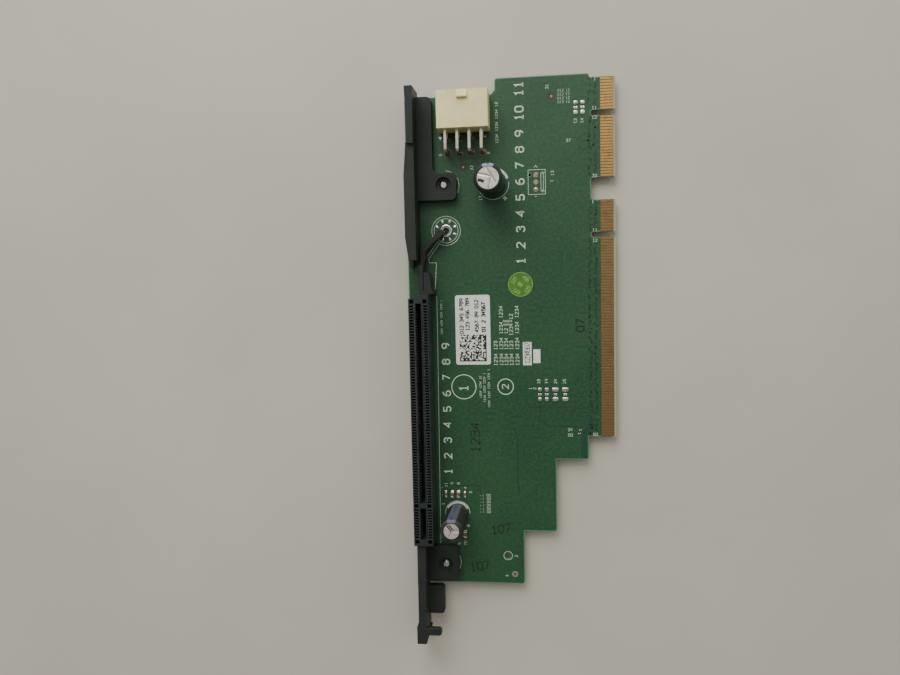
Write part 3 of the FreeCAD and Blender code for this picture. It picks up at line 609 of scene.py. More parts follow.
@dataclass(frozen=True)
class SpunAluminium(Finish):
    """Drawn aluminium, with rings about the can's axis, a dent along each groove of its vent, and painted
    shade along each groove's bottom.

    Attributes:
        name: The material's name.
        centre: A point of the can's axis, in metres.
        vent: The grooves of the vent.
    """

    name: str
    centre: Vector
    vent: tuple[Groove, ...]
    colour: Colour = srgb(232, 227, 214)
    dull: Colour = srgb(200, 195, 183)
    groove_shade_colour: Colour = srgb(118, 112, 104)
    dent_half_wide: float = 0.7
    dent_depth: float = 0.12
    groove_shade_from: float = 0.06
    groove_shade_to: float = 0.22
    ring_rate: float = 42.0

    def dents(self, recipe: Recipe) -> tuple[Socket, Socket]:
        """Maps the dents, and the painted shade along their bottom.

        Args:
            recipe: The material under way.

        Returns:
            How deep the dents are, and how near the surface is to a groove's painted shade line, both from 0
            to 1.
        """
        east, north = recipe.from_axis(self.centre)
        dent: Value = 0.0
        line: Value = 0.0
        for groove in self.vent:
            cosine, sine = math.cos(math.radians(groove.turn)), math.sin(math.radians(groove.turn))
            along = recipe.plus(recipe.times(east, cosine), recipe.times(north, sine))
            across = recipe.plus(recipe.times(east, -sine), recipe.times(north, cosine))
            off = recipe.math("ABSOLUTE", recipe.minus(across, groove.across))
            within = recipe.between(along, groove.near, groove.far)
            slope = recipe.minus(1.0, recipe.rise(off, 0.0, self.dent_half_wide))
            core = recipe.minus(1.0, recipe.rise(off, self.groove_shade_from, self.groove_shade_to))
            dent = recipe.math("MAXIMUM", dent, recipe.times(slope, within))
            line = recipe.math("MAXIMUM", line, recipe.times(core, within))
        return dent, line

    def material(self) -> bpy.types.Material:
        """Builds the aluminium.

        Returns:
            The can's metal.
        """
        recipe = Recipe(self.name)
        radius, _ = recipe.around(self.centre)
        ring = recipe.math("SINE", recipe.times(radius, self.ring_rate))
        patch = recipe.rise(recipe.noise(1.8, 3.0), 0.35, 0.7)
        dent, line = self.dents(recipe)
        spun = recipe.plus(recipe.times(ring, 0.25), recipe.noise(0.25, 2.0))
        pressed = recipe.bump(recipe.minus(1.0, dent), self.dent_depth, recipe.soft_edge(0.1))
        body = recipe.mix(patch, self.colour, self.dull)
        return recipe.dress(
            # Painted shade: the bottom of each groove is painted darker.
            Base_Color=recipe.mix(recipe.times(line, 0.8), body, self.groove_shade_colour),
            Metallic=0.75,
            Roughness=recipe.blend(patch, 0.36, 0.44),
            Normal=recipe.bump(spun, 0.004, pressed),
        )


@dataclass(frozen=True)
class ShrinkSleeve(Finish):
    """Glossy film shrunk on a can, with a pale stripe down the side of its negative lead."""

    name: str
    centre: Vector
    top: float
    half_angle: float
    film: Colour
    stripe: Colour
    stripe_turn: float = 0.0
    dash_pitch: float = 4.4
    dash_long: float = 2.4
    dash_half_wide: float = 0.42

    def material(self) -> bpy.types.Material:
        """Builds the sleeve.

        Returns:
            The film, its stripe and the minus marks down the stripe.
        """
        recipe = Recipe(self.name)
        radius, turn = recipe.around(self.centre)
        offset = recipe.math("ABSOLUTE", recipe.minus(turn, self.stripe_turn))
        stripe = recipe.math("LESS_THAN", offset, self.half_angle)
        drop = recipe.minus(self.top, recipe.along("Z"))
        step = recipe.math("FRACT", recipe.math("DIVIDE", drop, self.dash_pitch))
        dash = recipe.math("LESS_THAN", step, self.dash_long / self.dash_pitch)
        arc = recipe.times(recipe.times(offset, math.radians(1.0)), radius)
        minus = recipe.times(dash, recipe.math("LESS_THAN", arc, self.dash_half_wide))
        mottle = recipe.rise(recipe.noise(1.2, 3.0), 0.3, 0.7)
        pale = recipe.mix(recipe.times(minus, 0.75), self.stripe, self.film)
        deeper = tuple(0.72 * channel for channel in self.film)
        body = recipe.mix(mottle, self.film, deeper)
        wrinkle = recipe.noise(0.9, 3.0, (1.0, 1.0, 3.0))
        return recipe.dress(
            Base_Color=recipe.mix(stripe, body, pale),
            Roughness=recipe.blend(mottle, 0.32, 0.42),
            Specular_IOR_Level=0.35,
            Normal=recipe.bump(wrinkle, 0.02, recipe.soft_edge(0.15)),
        )


@dataclass(frozen=True)
class Sheet(Finish):
    """Paper, film, ink, ceramic or rubber: one matt colour with a fine mottle."""

    name: str
    colour: Colour
    shade: Colour
    roughness: float = 0.6
    mottle: float = 0.6
    depth: float = 0.006
    gloss: float = 0.5

    def material(self) -> bpy.types.Material:
        """Builds the sheet.

        Returns:
            The mottled colour.
        """
        recipe = Recipe(self.name)
        fleck = recipe.rise(recipe.noise(self.mottle, 3.0), 0.35, 0.7)
        return recipe.dress(
            Base_Color=recipe.mix(fleck, self.colour, self.shade),
            Roughness=recipe.blend(fleck, self.roughness, self.roughness * 1.15),
            Specular_IOR_Level=self.gloss,
            Normal=recipe.bump(recipe.noise(self.mottle * 0.5, 2.0), self.depth),
        )


GOLD = Plating(
    "finger_gold", srgb(196, 158, 98), srgb(166, 128, 76), roughness=0.36,
    streak=(30.0, 1.0, 1.0), streak_size=0.07, streak_depth=0.004, patch=2.2,
)
# A darker copy of the finger gold for the long tongue: painted shade standing in for the dimmer reflection of
# its fingers.
SHADED_FINGER_GOLD = Plating(
    "finger_gold_painted_shade", srgb(150, 124, 84), srgb(128, 102, 66), roughness=0.42,
    streak=(30.0, 1.0, 1.0), streak_size=0.07, streak_depth=0.004,
)
TIN = Plating(
    "bright_tin", srgb(226, 220, 200), srgb(180, 174, 154), roughness=0.26,
    streak=(1.0, 1.0, 6.0), streak_size=0.12, streak_depth=0.005, patch=1.5, rounding=0.42,
)
SOLDER = Plating(
    "solder", srgb(236, 235, 228), srgb(176, 174, 164), roughness=0.2,
    streak_size=0.4, streak_depth=0.02, patch=1.1,
)
DULL_SOLDER = Plating(
    "flux_stained_solder", srgb(112, 106, 88), srgb(66, 58, 46), roughness=0.3, streak_size=0.4, patch=0.8,
)
COPPER = Plating(
    "bare_copper", srgb(168, 148, 128), srgb(118, 98, 84), roughness=0.5, streak_size=0.2, patch=0.7,
)
STEEL = Plating(
    "zinc_steel", srgb(214, 212, 204), srgb(150, 148, 140), roughness=0.3,
    streak_size=0.15, streak_depth=0.01, patch=0.9,
)
SPRING = Plating(
    "spring_contacts", srgb(206, 202, 188), srgb(150, 144, 126), roughness=0.4,
    streak=(1.0, 1.0, 4.0), streak_size=0.1, streak_depth=0.004,
)
BLACK = Moulding(
    "bracket_plastic", srgb(43, 47, 44), srgb(68, 73, 70), roughness=0.5, edge=0.25, gloss=0.22,
)
SLOT_BLACK = Moulding(
    "slot_plastic", srgb(42, 49, 49), srgb(72, 80, 80), roughness=0.48, edge=0.1, gloss=0.28,
)
IVORY = Moulding(
    "header_nylon", srgb(238, 225, 164), srgb(246, 236, 194), roughness=0.45, edge=0.2, glow=0.12,
)
INK = Sheet("white_marking_ink", srgb(202, 212, 196), srgb(172, 188, 168), roughness=0.62, mottle=0.35)
DARK_INK = Sheet("dark_stamp_ink", srgb(12, 26, 20), srgb(20, 38, 28), roughness=0.5, mottle=0.3)
PAPER = Sheet("label_paper", srgb(219, 220, 213), srgb(210, 211, 203), roughness=0.55, mottle=1.4)
PRINT = Sheet("label_print", srgb(13, 13, 14), srgb(24, 24, 24), roughness=0.5, mottle=0.3)
STICKER = Sheet(
    "sticker_film", srgb(72, 123, 38), srgb(66, 112, 32), roughness=0.4, mottle=2.5, depth=0.01, gloss=0.4,
)
STICKER_INK = Sheet("sticker_ink", srgb(170, 196, 128), srgb(148, 176, 104), roughness=0.45, mottle=0.4)
CERAMIC = Sheet("chip_ceramic", srgb(116, 90, 70), srgb(94, 72, 56), roughness=0.35, mottle=0.5)
RUBBER = Sheet("bung_rubber", srgb(30, 30, 31), srgb(20, 20, 21), roughness=0.7, mottle=0.8)
CAN_MARK = Sheet("can_mark_ink", srgb(20, 18, 19), srgb(36, 32, 33), roughness=0.4, mottle=0.3)
TRACE = UnderMask("track_under_mask", srgb(33, 67, 44))
BLOT = UnderMask("opening_in_the_plane", srgb(27, 60, 42))
TEAL = UnderMask("mask_on_bare_laminate", srgb(30, 70, 54))
HOLE_DARK = Sheet("bare_laminate_ring", srgb(66, 52, 42), srgb(50, 40, 33), roughness=0.6, mottle=0.4)
PALE_RING = Sheet("mask_opening_ring", srgb(128, 150, 124), srgb(108, 132, 106), roughness=0.6, mottle=0.4)


# ---------------------------------------------------------------------------------------------------------
# Shapes laid on the board
# ---------------------------------------------------------------------------------------------------------


@dataclass(frozen=True)
class Board:
    """The board's own measures: X from its left edge, Y from its bottom edge, Z off one of its faces."""

    low: Vector
    high: Vector

    def at(self, x: float, y: float, z: float = 0.0, face: Face = Face.TOP) -> Vector:
        """Finds a point of the frame.

        Args:
            x: Millimetres from the left edge.
            y: Millimetres from the bottom edge.
            z: Millimetres off the face.
            face: The face that z is measured from.

        Returns:
            The point in metres.
        """
        level = self.high.z if face is Face.TOP else self.low.z
        return Vector((self.low.x + x * MM, self.low.y + y * MM, level + face.value * z * MM))

    @property
    def width(self) -> float:
        """The board's width, tongues included, in millimetres."""
        return (self.high.x - self.low.x) / MM


def arc_points(centre: Point, radius: float, start: float = 0.0, sweep: float = 360.0) -> list[Point]:
    """Lists points round an arc.

    Args:
        centre: Its centre.
        radius: Its radius.
        start: The first point's angle from +X, in degrees.
        sweep: The angle it covers; a full circle leaves out the repeated last point.

    Returns:
        The points, at least six, with more of them on a longer arc.
    """
    count = max(6, round(abs(sweep) / 360.0 * (14 + 4 * radius)))
    last = count if abs(sweep) >= 360.0 else count - 1
    turns = (math.radians(start + sweep * step / last) for step in range(count))
    return [(centre[0] + radius * math.cos(t), centre[1] + radius * math.sin(t)) for t in turns]


SHARPEST_MITRE = 0.4
DIGIT_WIDE = 4.0
DIGIT_TALL = 6.0
BOWL = ((0, 1), (1, 0), (3, 0), (4, 1), (4, 2.4), (3, 3.4))
DIGITS: dict[str, tuple[tuple[Point, ...], ...]] = {
    "0": (((0, 1), (0, 5), (1, 6), (3, 6), (4, 5), (4, 1), (3, 0), (1, 0), (0, 1)),),
    "1": (((0.8, 4.8), (2, 6), (2, 0)), ((0.6, 0), (3.4, 0))),
    "2": (((0, 5), (1, 6), (3, 6), (4, 5), (4, 4), (0, 0), (4, 0)),),
    "3": (((0, 5), (1, 6), (3, 6), (4, 5), (4, 4.2), (3, 3.4), (1.6, 3.4)), BOWL),
    "4": (((3, 0), (3, 6), (0, 2), (4, 2)),),
    "5": (((4, 6), (0.4, 6), (0.2, 3.4), (3, 3.4)), BOWL),
    "6": (((0, 1), (0, 4), (1.6, 6), (3.4, 6)), ((0, 2.4), (1, 3.4), (3, 3.4)), BOWL),
    "7": (((0, 6), (4, 6), (1.4, 0)),),
    "8": (((3, 3.4), (1, 3.4), (0, 4.3), (0, 5), (1, 6), (3, 6), (4, 5), (4, 4.3), (3, 3.4)),
          ((1, 3.4), (0, 2.4), (0, 1)), BOWL),
    "9": (((4, 3.6), (3, 2.7), (1, 2.7), (0, 3.7), (0, 5), (1, 6), (3, 6), (4, 5), (4, 2), (2.4, 0)),),
    "+": (((2, 1), (2, 5)), ((0, 3), (4, 3))),
    "-": (((0, 3), (4, 3)),),
}


class Layer:
    """Low closed solids on one face of the board, gathered into one piece."""

    def __init__(self, board: Board, face: Face = Face.TOP, base: float = 0.0, rise: float = 0.02) -> None:
        """Starts an empty layer.

        Args:
            board: The board that it lies on.
            face: The face of the board.
            base: The height of the layer's underside.
            rise: The layer's thickness.
        """
        self.board = board
        self.face = face
        self.base = base
        self.rise = rise
        self.mesh = bmesh.new()

    def _ring(self, outline: Sequence[Point], height: float) -> list[bmesh.types.BMVert]:
        """Adds a ring of vertices at one height and returns it."""
        return [self.mesh.verts.new(self.board.at(x, y, height, self.face)) for x, y in outline]

    def loft(self, rings: Sequence[tuple[Sequence[Point], float]], hollow: bool = False) -> None:
        """Adds a solid through a stack of rings.

        Args:
            rings: Outlines with the same number of points, each with its height.
            hollow: Whether the last ring joins the first in place of two end caps.
        """
        loops = [self._ring(outline, height) for outline, height in rings]
        if hollow:
            loops.append(loops[0])
        for lower, upper in zip(loops, loops[1:]):
            for index, corner in enumerate(lower):
                other = (index + 1) % len(lower)
                self.mesh.faces.new((corner, lower[other], upper[other], upper[index]))
        if not hollow:
            self.mesh.faces.new(loops[0])
            self.mesh.faces.new(loops[-1])

    def plate(self, outline: Sequence[Point]) -> None:
        """Adds a flat plate with the given outline."""
        self.loft([(outline, self.base), (outline, self.base + self.rise)])

    def bar(self, left: float, low: float, wide: float, tall: float) -> None:
        """Adds an upright rectangle from its lower left corner."""
        self.plate([(left, low), (left + wide, low), (left + wide, low + tall), (left, low + tall)])

    def disc(self, centre: Point, radius: float) -> None:
        """Adds a disc."""
        self.plate(arc_points(centre, radius))

    def ring(self, centre: Point, radius: float, wide: float) -> None:
        """Adds a ring by the radius of its middle and its width."""
        outline = arc_points(centre, radius)
        self.stroke(outline, wide, closed=True)

    def stroke(self, points: Sequence[Point], wide: float, closed: bool = False) -> None:
        """Adds a line of even width with mitred corners.

        Args:
            points: The points of its middle.
            wide: Its width.
            closed: Whether it runs back to its first point.
        """
        line = [Vector(point) for point in points]
        left: list[Point] = []
        right: list[Point] = []
        for index, point in enumerate(line):
            before = line[index - 1] if index or closed else None
            after = line[(index + 1) % len(line)] if index + 1 < len(line) or closed else None
            legs = ((before, point), (point, after))
            ways = [(b - a).normalized() for a, b in legs if a is not None and b is not None]
            way = sum(ways, Vector((0.0, 0.0))).normalized()
            reach = wide / 2 / max(SHARPEST_MITRE, way.dot(ways[0]))
            side = Vector((-way.y, way.x)) * reach
            left.append(tuple(point + side))
            right.append(tuple(point - side))
        top = self.base + self.rise
        if closed:
            self.loft([(left, self.base), (right, self.base), (right, top), (left, top)], hollow=True)
        else:
            self.plate_strip(left, right)

    def plate_strip(self, left: Sequence[Point], right: Sequence[Point]) -> None:
        """Adds a flat strip between two lines with the same number of points.

        Args:
            left: The points of its left side.
            right: The points of its right side.
        """
        top = self.base + self.rise
        sections = [
            [self.mesh.verts.new(self.board.at(*point, level, self.face)) for point, level in
             ((a, self.base), (b, self.base), (b, top), (a, top))]
            for a, b in zip(left, right)
        ]
        for one, two in zip(sections, sections[1:]):
            for index in range(len(one)):
                other = (index + 1) % len(one)
                self.mesh.faces.new((one[index], one[other], two[other], two[index]))
        self.mesh.faces.new(sections[0])
        self.mesh.faces.new(sections[-1])

    def arc(self, centre: Point, radius: float, wide: float, start: float, sweep: float) -> None:
        """Adds part of a ring, from an angle in degrees through a sweep."""
        self.stroke(arc_points(centre, radius, start, sweep), wide)

    def digits(
        self, text: str, at: Point, tall: float, reading: Reading = Reading.UP, pitch: float = 1.42,
        weight: float = 0.15, lean: float = 0.0,
    ) -> None:
        """Writes plain digits in single strokes.

        Args:
            text: Digits, spaces and signs.
            at: The lower left corner of the first digit, as it is read.
            tall: The digits' height.
            reading: The way the row runs.
            pitch: The step from digit to digit, in digit widths.
            weight: The stroke's width, as a share of the height.
            lean: An extra turn of the row, in degrees.
        """
        unit = tall / DIGIT_TALL
        turn = math.radians(reading.value + lean)
        cosine, sine = math.cos(turn), math.sin(turn)
        for index, letter in enumerate(text):
            start = index * pitch * DIGIT_WIDE * unit
            for run in DIGITS.get(letter, ()):
                placed = [(start + x * unit, y * unit) for x, y in run]
                turned = [(at[0] + x * cosine - y * sine, at[1] + x * sine + y * cosine) for x, y in placed]
                self.stroke(turned, tall * weight)

    def finish(self, name: str, finish: Finish, slot: Slot, smooth: bool = False) -> bpy.types.Object:
        """Closes the layer into an object that rides on the card.

        Args:
            name: The piece's name.
            finish: Its surface.
            slot: The record's slot for that surface; not used.
            smooth: Whether its faces are shaded smooth.

        Returns:
            The object.
        """
        bmesh.ops.recalc_face_normals(self.mesh, faces=self.mesh.faces)
        if smooth:
            for face in self.mesh.faces:
                face.smooth = True
        data = bpy.data.meshes.new(name)
        self.mesh.to_mesh(data)
        self.mesh.free()
        piece = bpy.data.objects.new(name, data)
        bpy.context.scene.collection.objects.link(piece)
        data.materials.append(finish.material())
        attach(piece, "root")
        LOG.info("%s: %d faces", name, len(data.polygons))
        return piece


PAD_CORNER = 0.28
BULGE = ((0.0, 0.0), (0.02, 0.35), (0.14, 0.72), (0.3, 0.92), (0.6, 1.0))


class SolderWork(Layer):
    """Solder on one face of the board: wetted pads, and fillets that climb round a pin."""

    def pillow(self, left: float, low: float, wide: float, tall: float, rise: float = 0.14) -> None:
        """Adds solder that wets a rectangular pad and bulges in its middle.

        Args:
            left: The pad's left side.
            low: Its lower side.
            wide: Its width.
            tall: Its height on the board.
            rise: The height of the bulge.
        """
        centre = (left + wide / 2, low + tall / 2)
        rings = []
        for inset, height in BULGE:
            outline = self.soft_corners(centre, wide * (1 - inset), tall * (1 - inset))
            rings.append((outline, self.base + height * rise))
        self.loft(rings)

    @staticmethod
    def soft_corners(centre: Point, wide: float, tall: float, corner: float = 0.0) -> list[Point]:
        """Lists the outline of a rectangle with round corners.

        Args:
            centre: Its middle.
            wide: Its width.
            tall: Its height.
            corner: The corners' radius; at 0 it is a share of the narrow side.

        Returns:
            Four points for each corner.
        """
        radius = corner or PAD_CORNER * min(wide, tall)
        east, north = wide / 2 - radius, tall / 2 - radius
        points: list[Point] = []
        for quarter, (x, y) in enumerate(((east, north), (-east, north), (-east, -north), (east, -north))):
            for step in range(4):
                turn = math.radians(90.0 * quarter + 30.0 * step)
                out, up = radius * math.cos(turn), radius * math.sin(turn)
                points.append((centre[0] + x + out, centre[1] + y + up))
        return points

    def fillet(self, centre: Point, pad: float, pin: float, climb: float, sides: int = 18) -> None:
        """Adds a fillet that climbs from a round pad to a pin.

        Args:
            centre: The pin's place.
            pad: The pad's radius.
            pin: The pin's radius.
            climb: How far the solder climbs the pin.
            sides: The number of sides.
        """
        rings = []
        for share in (0.0, 0.18, 0.4, 0.66, 1.0):
            radius = pin + (pad - pin) * (1 - share) ** 2.2
            rings.append((self.circle(centre, radius, sides), self.base + climb * share))
        self.loft(rings)

    def tail(
        self, centre: Point, pad: float, pin: float, climb: float, tip: float, sides: int = 10
    ) -> None:
        """Adds a fillet with the end of its pin standing out of it.

        Args:
            centre: The pin's place.
            pad: The pad's radius.
            pin: The pin's radius.
            climb: How far the solder climbs the pin.
            tip: How far the pin stands off the board.
            sides: The number of sides.
        """
        rings = []
        for share in (0.0, 0.25, 0.55, 1.0):
            radius = pin + (pad - pin) * (1 - share) ** 2
            rings.append((self.circle(centre, radius, sides), self.base + climb * share))
        rings.append((self.circle(centre, pin, sides), self.base + tip * 0.85))
        rings.append((self.circle(centre, pin * 0.6, sides), self.base + tip))
        self.loft(rings)

    @staticmethod
    def circle(centre: Point, radius: float, sides: int) -> list[Point]:
        """Lists the corners of a regular outline."""
        turns = (2 * math.pi * index / sides for index in range(sides))
        return [(centre[0] + radius * math.cos(t), centre[1] + radius * math.sin(t)) for t in turns]


# ---------------------------------------------------------------------------------------------------------
# The card
# ---------------------------------------------------------------------------------------------------------


LATCH_HOLE: Point = (14.15, 130.35)


@dataclass(frozen=True)
class CanMark:
    """The white ring round a can's place, with its broad part by the negative lead and a plus sign.

    Attributes:
        centre: The can's place.
        radius: The ring's radius.
        start: Where the ring starts, in degrees from +X.
        broad: The width of its broad part.
        broad_start: Where the broad part starts.
        broad_sweep: The angle that the broad part covers.
        plus: The place of the plus sign.
        plus_tall: The sign's height.
        plus_weight: The sign's stroke, as a share of its height.
        sweep: The angle that the ring covers.
        inset: How far inside the ring the broad part's middle lies.
    """

    centre: Point
    radius: float
    start: float
    broad: float
    broad_start: float
    broad_sweep: float
    plus: Point
    plus_tall: float
    plus_weight: float
    sweep: float = 290.0
    inset: float = 0.25


@dataclass
class PrintedBoard:
    """Everything printed, plated or tented on the bare board, in the board's own millimetres."""

    board: Board
    pitch: float = 1.0
    long_first: float = 139.07
    short_first: float = 181.07
    long_count: int = 82
    short_count: int = 32
    key_gap: float = 3.0
    before_key: int = 11
    stair: tuple[Point, ...] = ((40.74, 0.0), (40.74, 20.12), (52.71, 20.12), (52.71, 46.97), (64.35, 46.97))
    chips: tuple[Box, ...] = (
        (12.05, 33.45, 0.8, 1.6), (14.38, 33.45, 1.25, 2.0), (16.71, 33.45, 1.25, 2.0),
        (19.04, 33.45, 0.8, 1.6), (18.9, 18.5, 1.25, 2.0),
    )
    cans: tuple[CanMark, ...] = (
        CanMark((31.4, 146.5), 5.6, 75.0, 0.85, 18.0, 52.0, (36.6, 140.5), 2.1, 0.2),
        CanMark((16.25, 26.2), 4.6, 0.0, 1.0, 28.0, 124.0, (21.0, 21.0), 1.9, 0.22),
    )
    latch_hole: Point = LATCH_HOLE
    fan_frame: Box = (43.82, 142.2, 49.85, 150.8)
    fan_rail: float = 48.3
    fan_inset: float = 1.1
    code_rows: tuple[tuple[float, float, int, float], ...] = (
        (31.9, 81.4, 8, 1.15), (33.95, 81.4, 19, 1.15), (35.75, 81.4, 12, 1.15), (37.6, 81.4, 8, 1.15),
        (37.6, 92.3, 7, 1.15), (39.7, 81.4, 20, 1.15), (25.9, 69.6, 12, 0.68), (27.35, 68.0, 16, 0.68),
        (28.95, 66.0, 21, 0.68), (12.05, 92.9, 21, 0.6), (33.4, 160.6, 17, 0.85),
    )
    part_numbers: tuple[Text, ...] = (
        (27.3, 140.8, "17"), (52.8, 148.6, "13"), (52.5, 146.4, "1"),
        (51.2, 178.5, "31"), (24.3, 151.6, "32"),
        (60.9, 166.3, "12"), (63.2, 166.3, "14"), (12.5, 36.2, "11"), (14.8, 37.2, "9"), (17.2, 37.2, "8"),
        (19.7, 35.6, "4"), (21.6, 33.9, "3"), (17.2, 14.4, "9"), (19.4, 14.2, "70"), (44.1, 72.6, "1"),
        (45.6, 72.6, "2"), (47.1, 74.7, "18"), (49.9, 74.7, "19"), (53.1, 74.7, "24"), (56.3, 74.7, "25"),
        (38.1, 10.1, "2"), (34.6, 2.6, "4"), (13.2, 157.0, "5"), (30.4, 157.0, "8"), (11.3, 29.4, "1"),
    )
    finger_numbers: tuple[Text, ...] = (
        (66.9, 180.6, "1"), (66.2, 170.8, "11"), (66.2, 167.5, "12"), (66.2, 147.5, "32"), (66.0, 138.5, "1"),
        (66.2, 128.7, "11"), (66.2, 125.0, "12"), (66.0, 55.7, "82"), (57.2, 160.0, "37"), (57.0, 57.4, "24"),
        (57.0, 55.4, "50"),
    )
    tracks: tuple[tuple[Point, ...], ...] = (
        ((37.3, 58.3), (38.7, 55.4), (38.7, 37.6), (39.5, 33.9)),
        ((43.2, 65.97), (57.3, 65.97)),
        ((57.5, 63.0), (60.2, 65.7), (64.0, 65.7)),
        ((59.8, 62.6), (61.4, 64.2), (64.0, 64.2)),
        ((60.8, 160.4), (62.9, 162.3), (65.2, 162.3)),
        ((61.2, 158.9), (63.0, 157.2), (65.0, 157.2)),
        ((62.2, 160.2), (66.4, 160.2)),
        ((12.8, 36.9), (24.0, 36.9), (24.9, 36.0), (24.9, 33.6)),
        ((47.0, 68.0), (47.0, 62.0), (50.0, 59.0), (62.0, 59.0)),
    )
    bare_window: tuple[Point, ...] = (
        (61.6, 47.6), (63.7, 47.6), (63.7, 57.2), (65.6, 58.4), (65.6, 60.4), (62.2, 57.6), (61.6, 54.0),
    )
    target_rim: Point = (37.14, 3.62)
    dark_targets: tuple[Point, ...] = ((52.26, 175.91), (20.77, 152.68))
    ink_line: float = 0.16
    number_tall: float = 0.95
    track_wide: float = 0.36
    via_radius: float = 0.22
    seed: int = 3

    def finger_rows(self) -> Iterator[float]:
        """Goes through the fingers of both tongues.

        Yields:
            The place of each finger along Y.
        """
        for first, count in ((self.short_first, self.short_count), (self.long_first, self.long_count)):
            for index in range(count):
                skipped = self.key_gap - self.pitch if index >= self.before_key else 0.0
                yield first - index * self.pitch - skipped

    def build(self) -> None:
        """Builds the marks, traces, vias and bare pads."""
        self.marks()
        self.numbers()
        self.traces()
        self.vias()
        self.pads()
        self.test_points()
        self.stamps()

    def marks(self) -> None:
        """Draws the white outlines round the parts."""
        ink = Layer(self.board)
        line = self.ink_line
        self.latch_marks(ink)
        for can in self.cans:
            ink.arc(can.centre, can.radius, line, can.start, can.sweep)
            ink.arc(can.centre, can.radius - can.inset, can.broad, can.broad_start, can.broad_sweep)
            ink.digits("+", can.plus, can.plus_tall, weight=can.plus_weight)
        ink.arc((13.9, 146.4), 5.3, line, -40.0, 125.0)
        ink.arc((11.85, 7.6), 5.3, line, -42.0, 84.0)
        ink.stroke([(10.2, 106.9), (10.2, 93.0), (9.6, 14.3), (8.8, 14.3)], line)
        ink.plate([(12.1, 163.7), (13.5, 163.7), (12.8, 162.4)])
        self.fan_marks(ink)
        ink.ring((34.66, 10.55), 1.62, 0.13)
        for centre, radius, text, place, tall in (
            ((19.46, 73.59), 4.45, "1", (20.9, 72.1), 3.0), ((34.69, 73.61), 2.835, "2", (35.7, 72.9), 2.2),
        ):
            ink.ring(centre, radius, 0.3)
            ink.digits(text, place, tall, weight=0.13)
        ink.finish("white_outlines", INK, Slot.BOARD)

    def latch_marks(self, ink: Layer) -> None:
        """Draws the outline under the latch and the two rings round its hole.

        Args:
            ink: The layer of white ink.
        """
        for radius in (5.2, 4.35):
            ink.ring(self.latch_hole, radius, self.ink_line)
        for points in (
            [(11.72, 127.41), (6.2, 120.21), (6.09, 115.8)],
            [(12.44, 126.93), (7.6, 120.4), (7.79, 119.02), (10.39, 118.96), (9.69, 109.49)],
        ):
            ink.stroke(points, self.ink_line)

    def fan_marks(self, ink: Layer) -> None:
        """Draws the frame of the empty three-pin place.

        Args:
            ink: The layer of white ink.
        """
        line, rail, inset = self.ink_line, self.fan_rail, self.fan_inset
        left, low, right, top = self.fan_frame
        ink.stroke([(left, low), (right, low), (right, top), (left, top)], line, closed=True)
        for x in (rail, right - 0.7):
            ink.stroke([(x, low + inset), (x, top - inset)], line)
        for level in (low + inset, top - inset):
            ink.stroke([(rail, level), (right, level)], line)
            ink.stroke([(rail + 0.55, level - 0.5), (rail + 0.55, level + 0.5)], line)
        ink.stroke([(45.9, 151.6), (46.5, 152.3), (47.1, 151.6)], line)
        ink.stroke([(46.1, 141.5), (46.9, 141.5)], line)

    def numbers(self) -> None:
        """Writes plain numbers where the card is marked."""
        ink = Layer(self.board)
        ink.digits("1 2 3 4 5 6 7 8 9 10 11", (42.3, 118.0), 2.75, pitch=1.525, weight=0.17)
        ink.digits("1 2 3 4 5 6 7 8 9", (14.4, 41.2), 2.6, pitch=1.68, weight=0.17)
        for x, y, count, tall in self.code_rows:
            ink.digits(self.counted(count), (x, y), tall, pitch=1.5, weight=0.15)
        for step in range(6):
            ink.digits("12 34", (34.6 + 0.55 * step, 95.7), 0.45, pitch=1.5, weight=0.2)
        for texts, reading in ((self.part_numbers, Reading.UP), (self.finger_numbers, Reading.ACROSS)):
            for x, y, text in texts:
                ink.digits(text, (x, y), self.number_tall, reading, weight=0.14)
        for text, x in (("012", 54.4), ("12", 57.2)):
            for row in range(4):
                ink.digits(text, (x, 173.4 + row * 1.3), 0.8, Reading.ACROSS, pitch=1.45, weight=0.1)
        for row in range(6):
            level = 26.6 + row * 1.24
            ink.digits("00", (27.15, level), 0.8, Reading.ACROSS, weight=0.13)
            ink.digits("-", (24.6, level), 0.5, Reading.ACROSS, weight=0.2)
            ink.digits("1", (25.6, level), 0.6, Reading.ACROSS, weight=0.12)
        ink.finish("white_numbers", INK, Slot.BOARD)

    @staticmethod
    def counted(count: int) -> str:
        """Returns a row of counting digits, in groups of four."""
        return "".join(" " if index % 5 == 4 else str(index % 5 + 1) for index in range(count))

    def traces(self) -> None:
        """Lays the tracks that show through the mask."""
        track = Layer(self.board, rise=0.012)
        for points in self.tracks:
            track.stroke(points, self.track_wide)
        track.finish("tracks_under_mask", TRACE, Slot.BOARD)
        teal = Layer(self.board, rise=0.01)
        teal.plate(self.bare_window)
        for index in range(9):
            teal.bar(63.6 + 0.4 * (index % 3), 59.6 + index * 1.05, 2.6, 0.42)
        teal.finish("mask_without_copper", TEAL, Slot.BOARD)

    def vias(self) -> None:
        """Opens the plane beside the fingers, and sets vias along the board's stairs and over the plane."""
        draw = random.Random(self.seed)
        for face, name in ((Face.TOP, "openings_in_the_plane"), (Face.BOTTOM, "openings_underside")):
            via = Layer(self.board, face, rise=0.012)
            self.finger_openings(via, draw)
            self.stair_vias(via, draw)
            for _ in range(24):
                via.disc((draw.uniform(14.0, 62.0), draw.uniform(50.0, 142.0)), self.via_radius)
            via.finish(name, BLOT, Slot.BOARD)

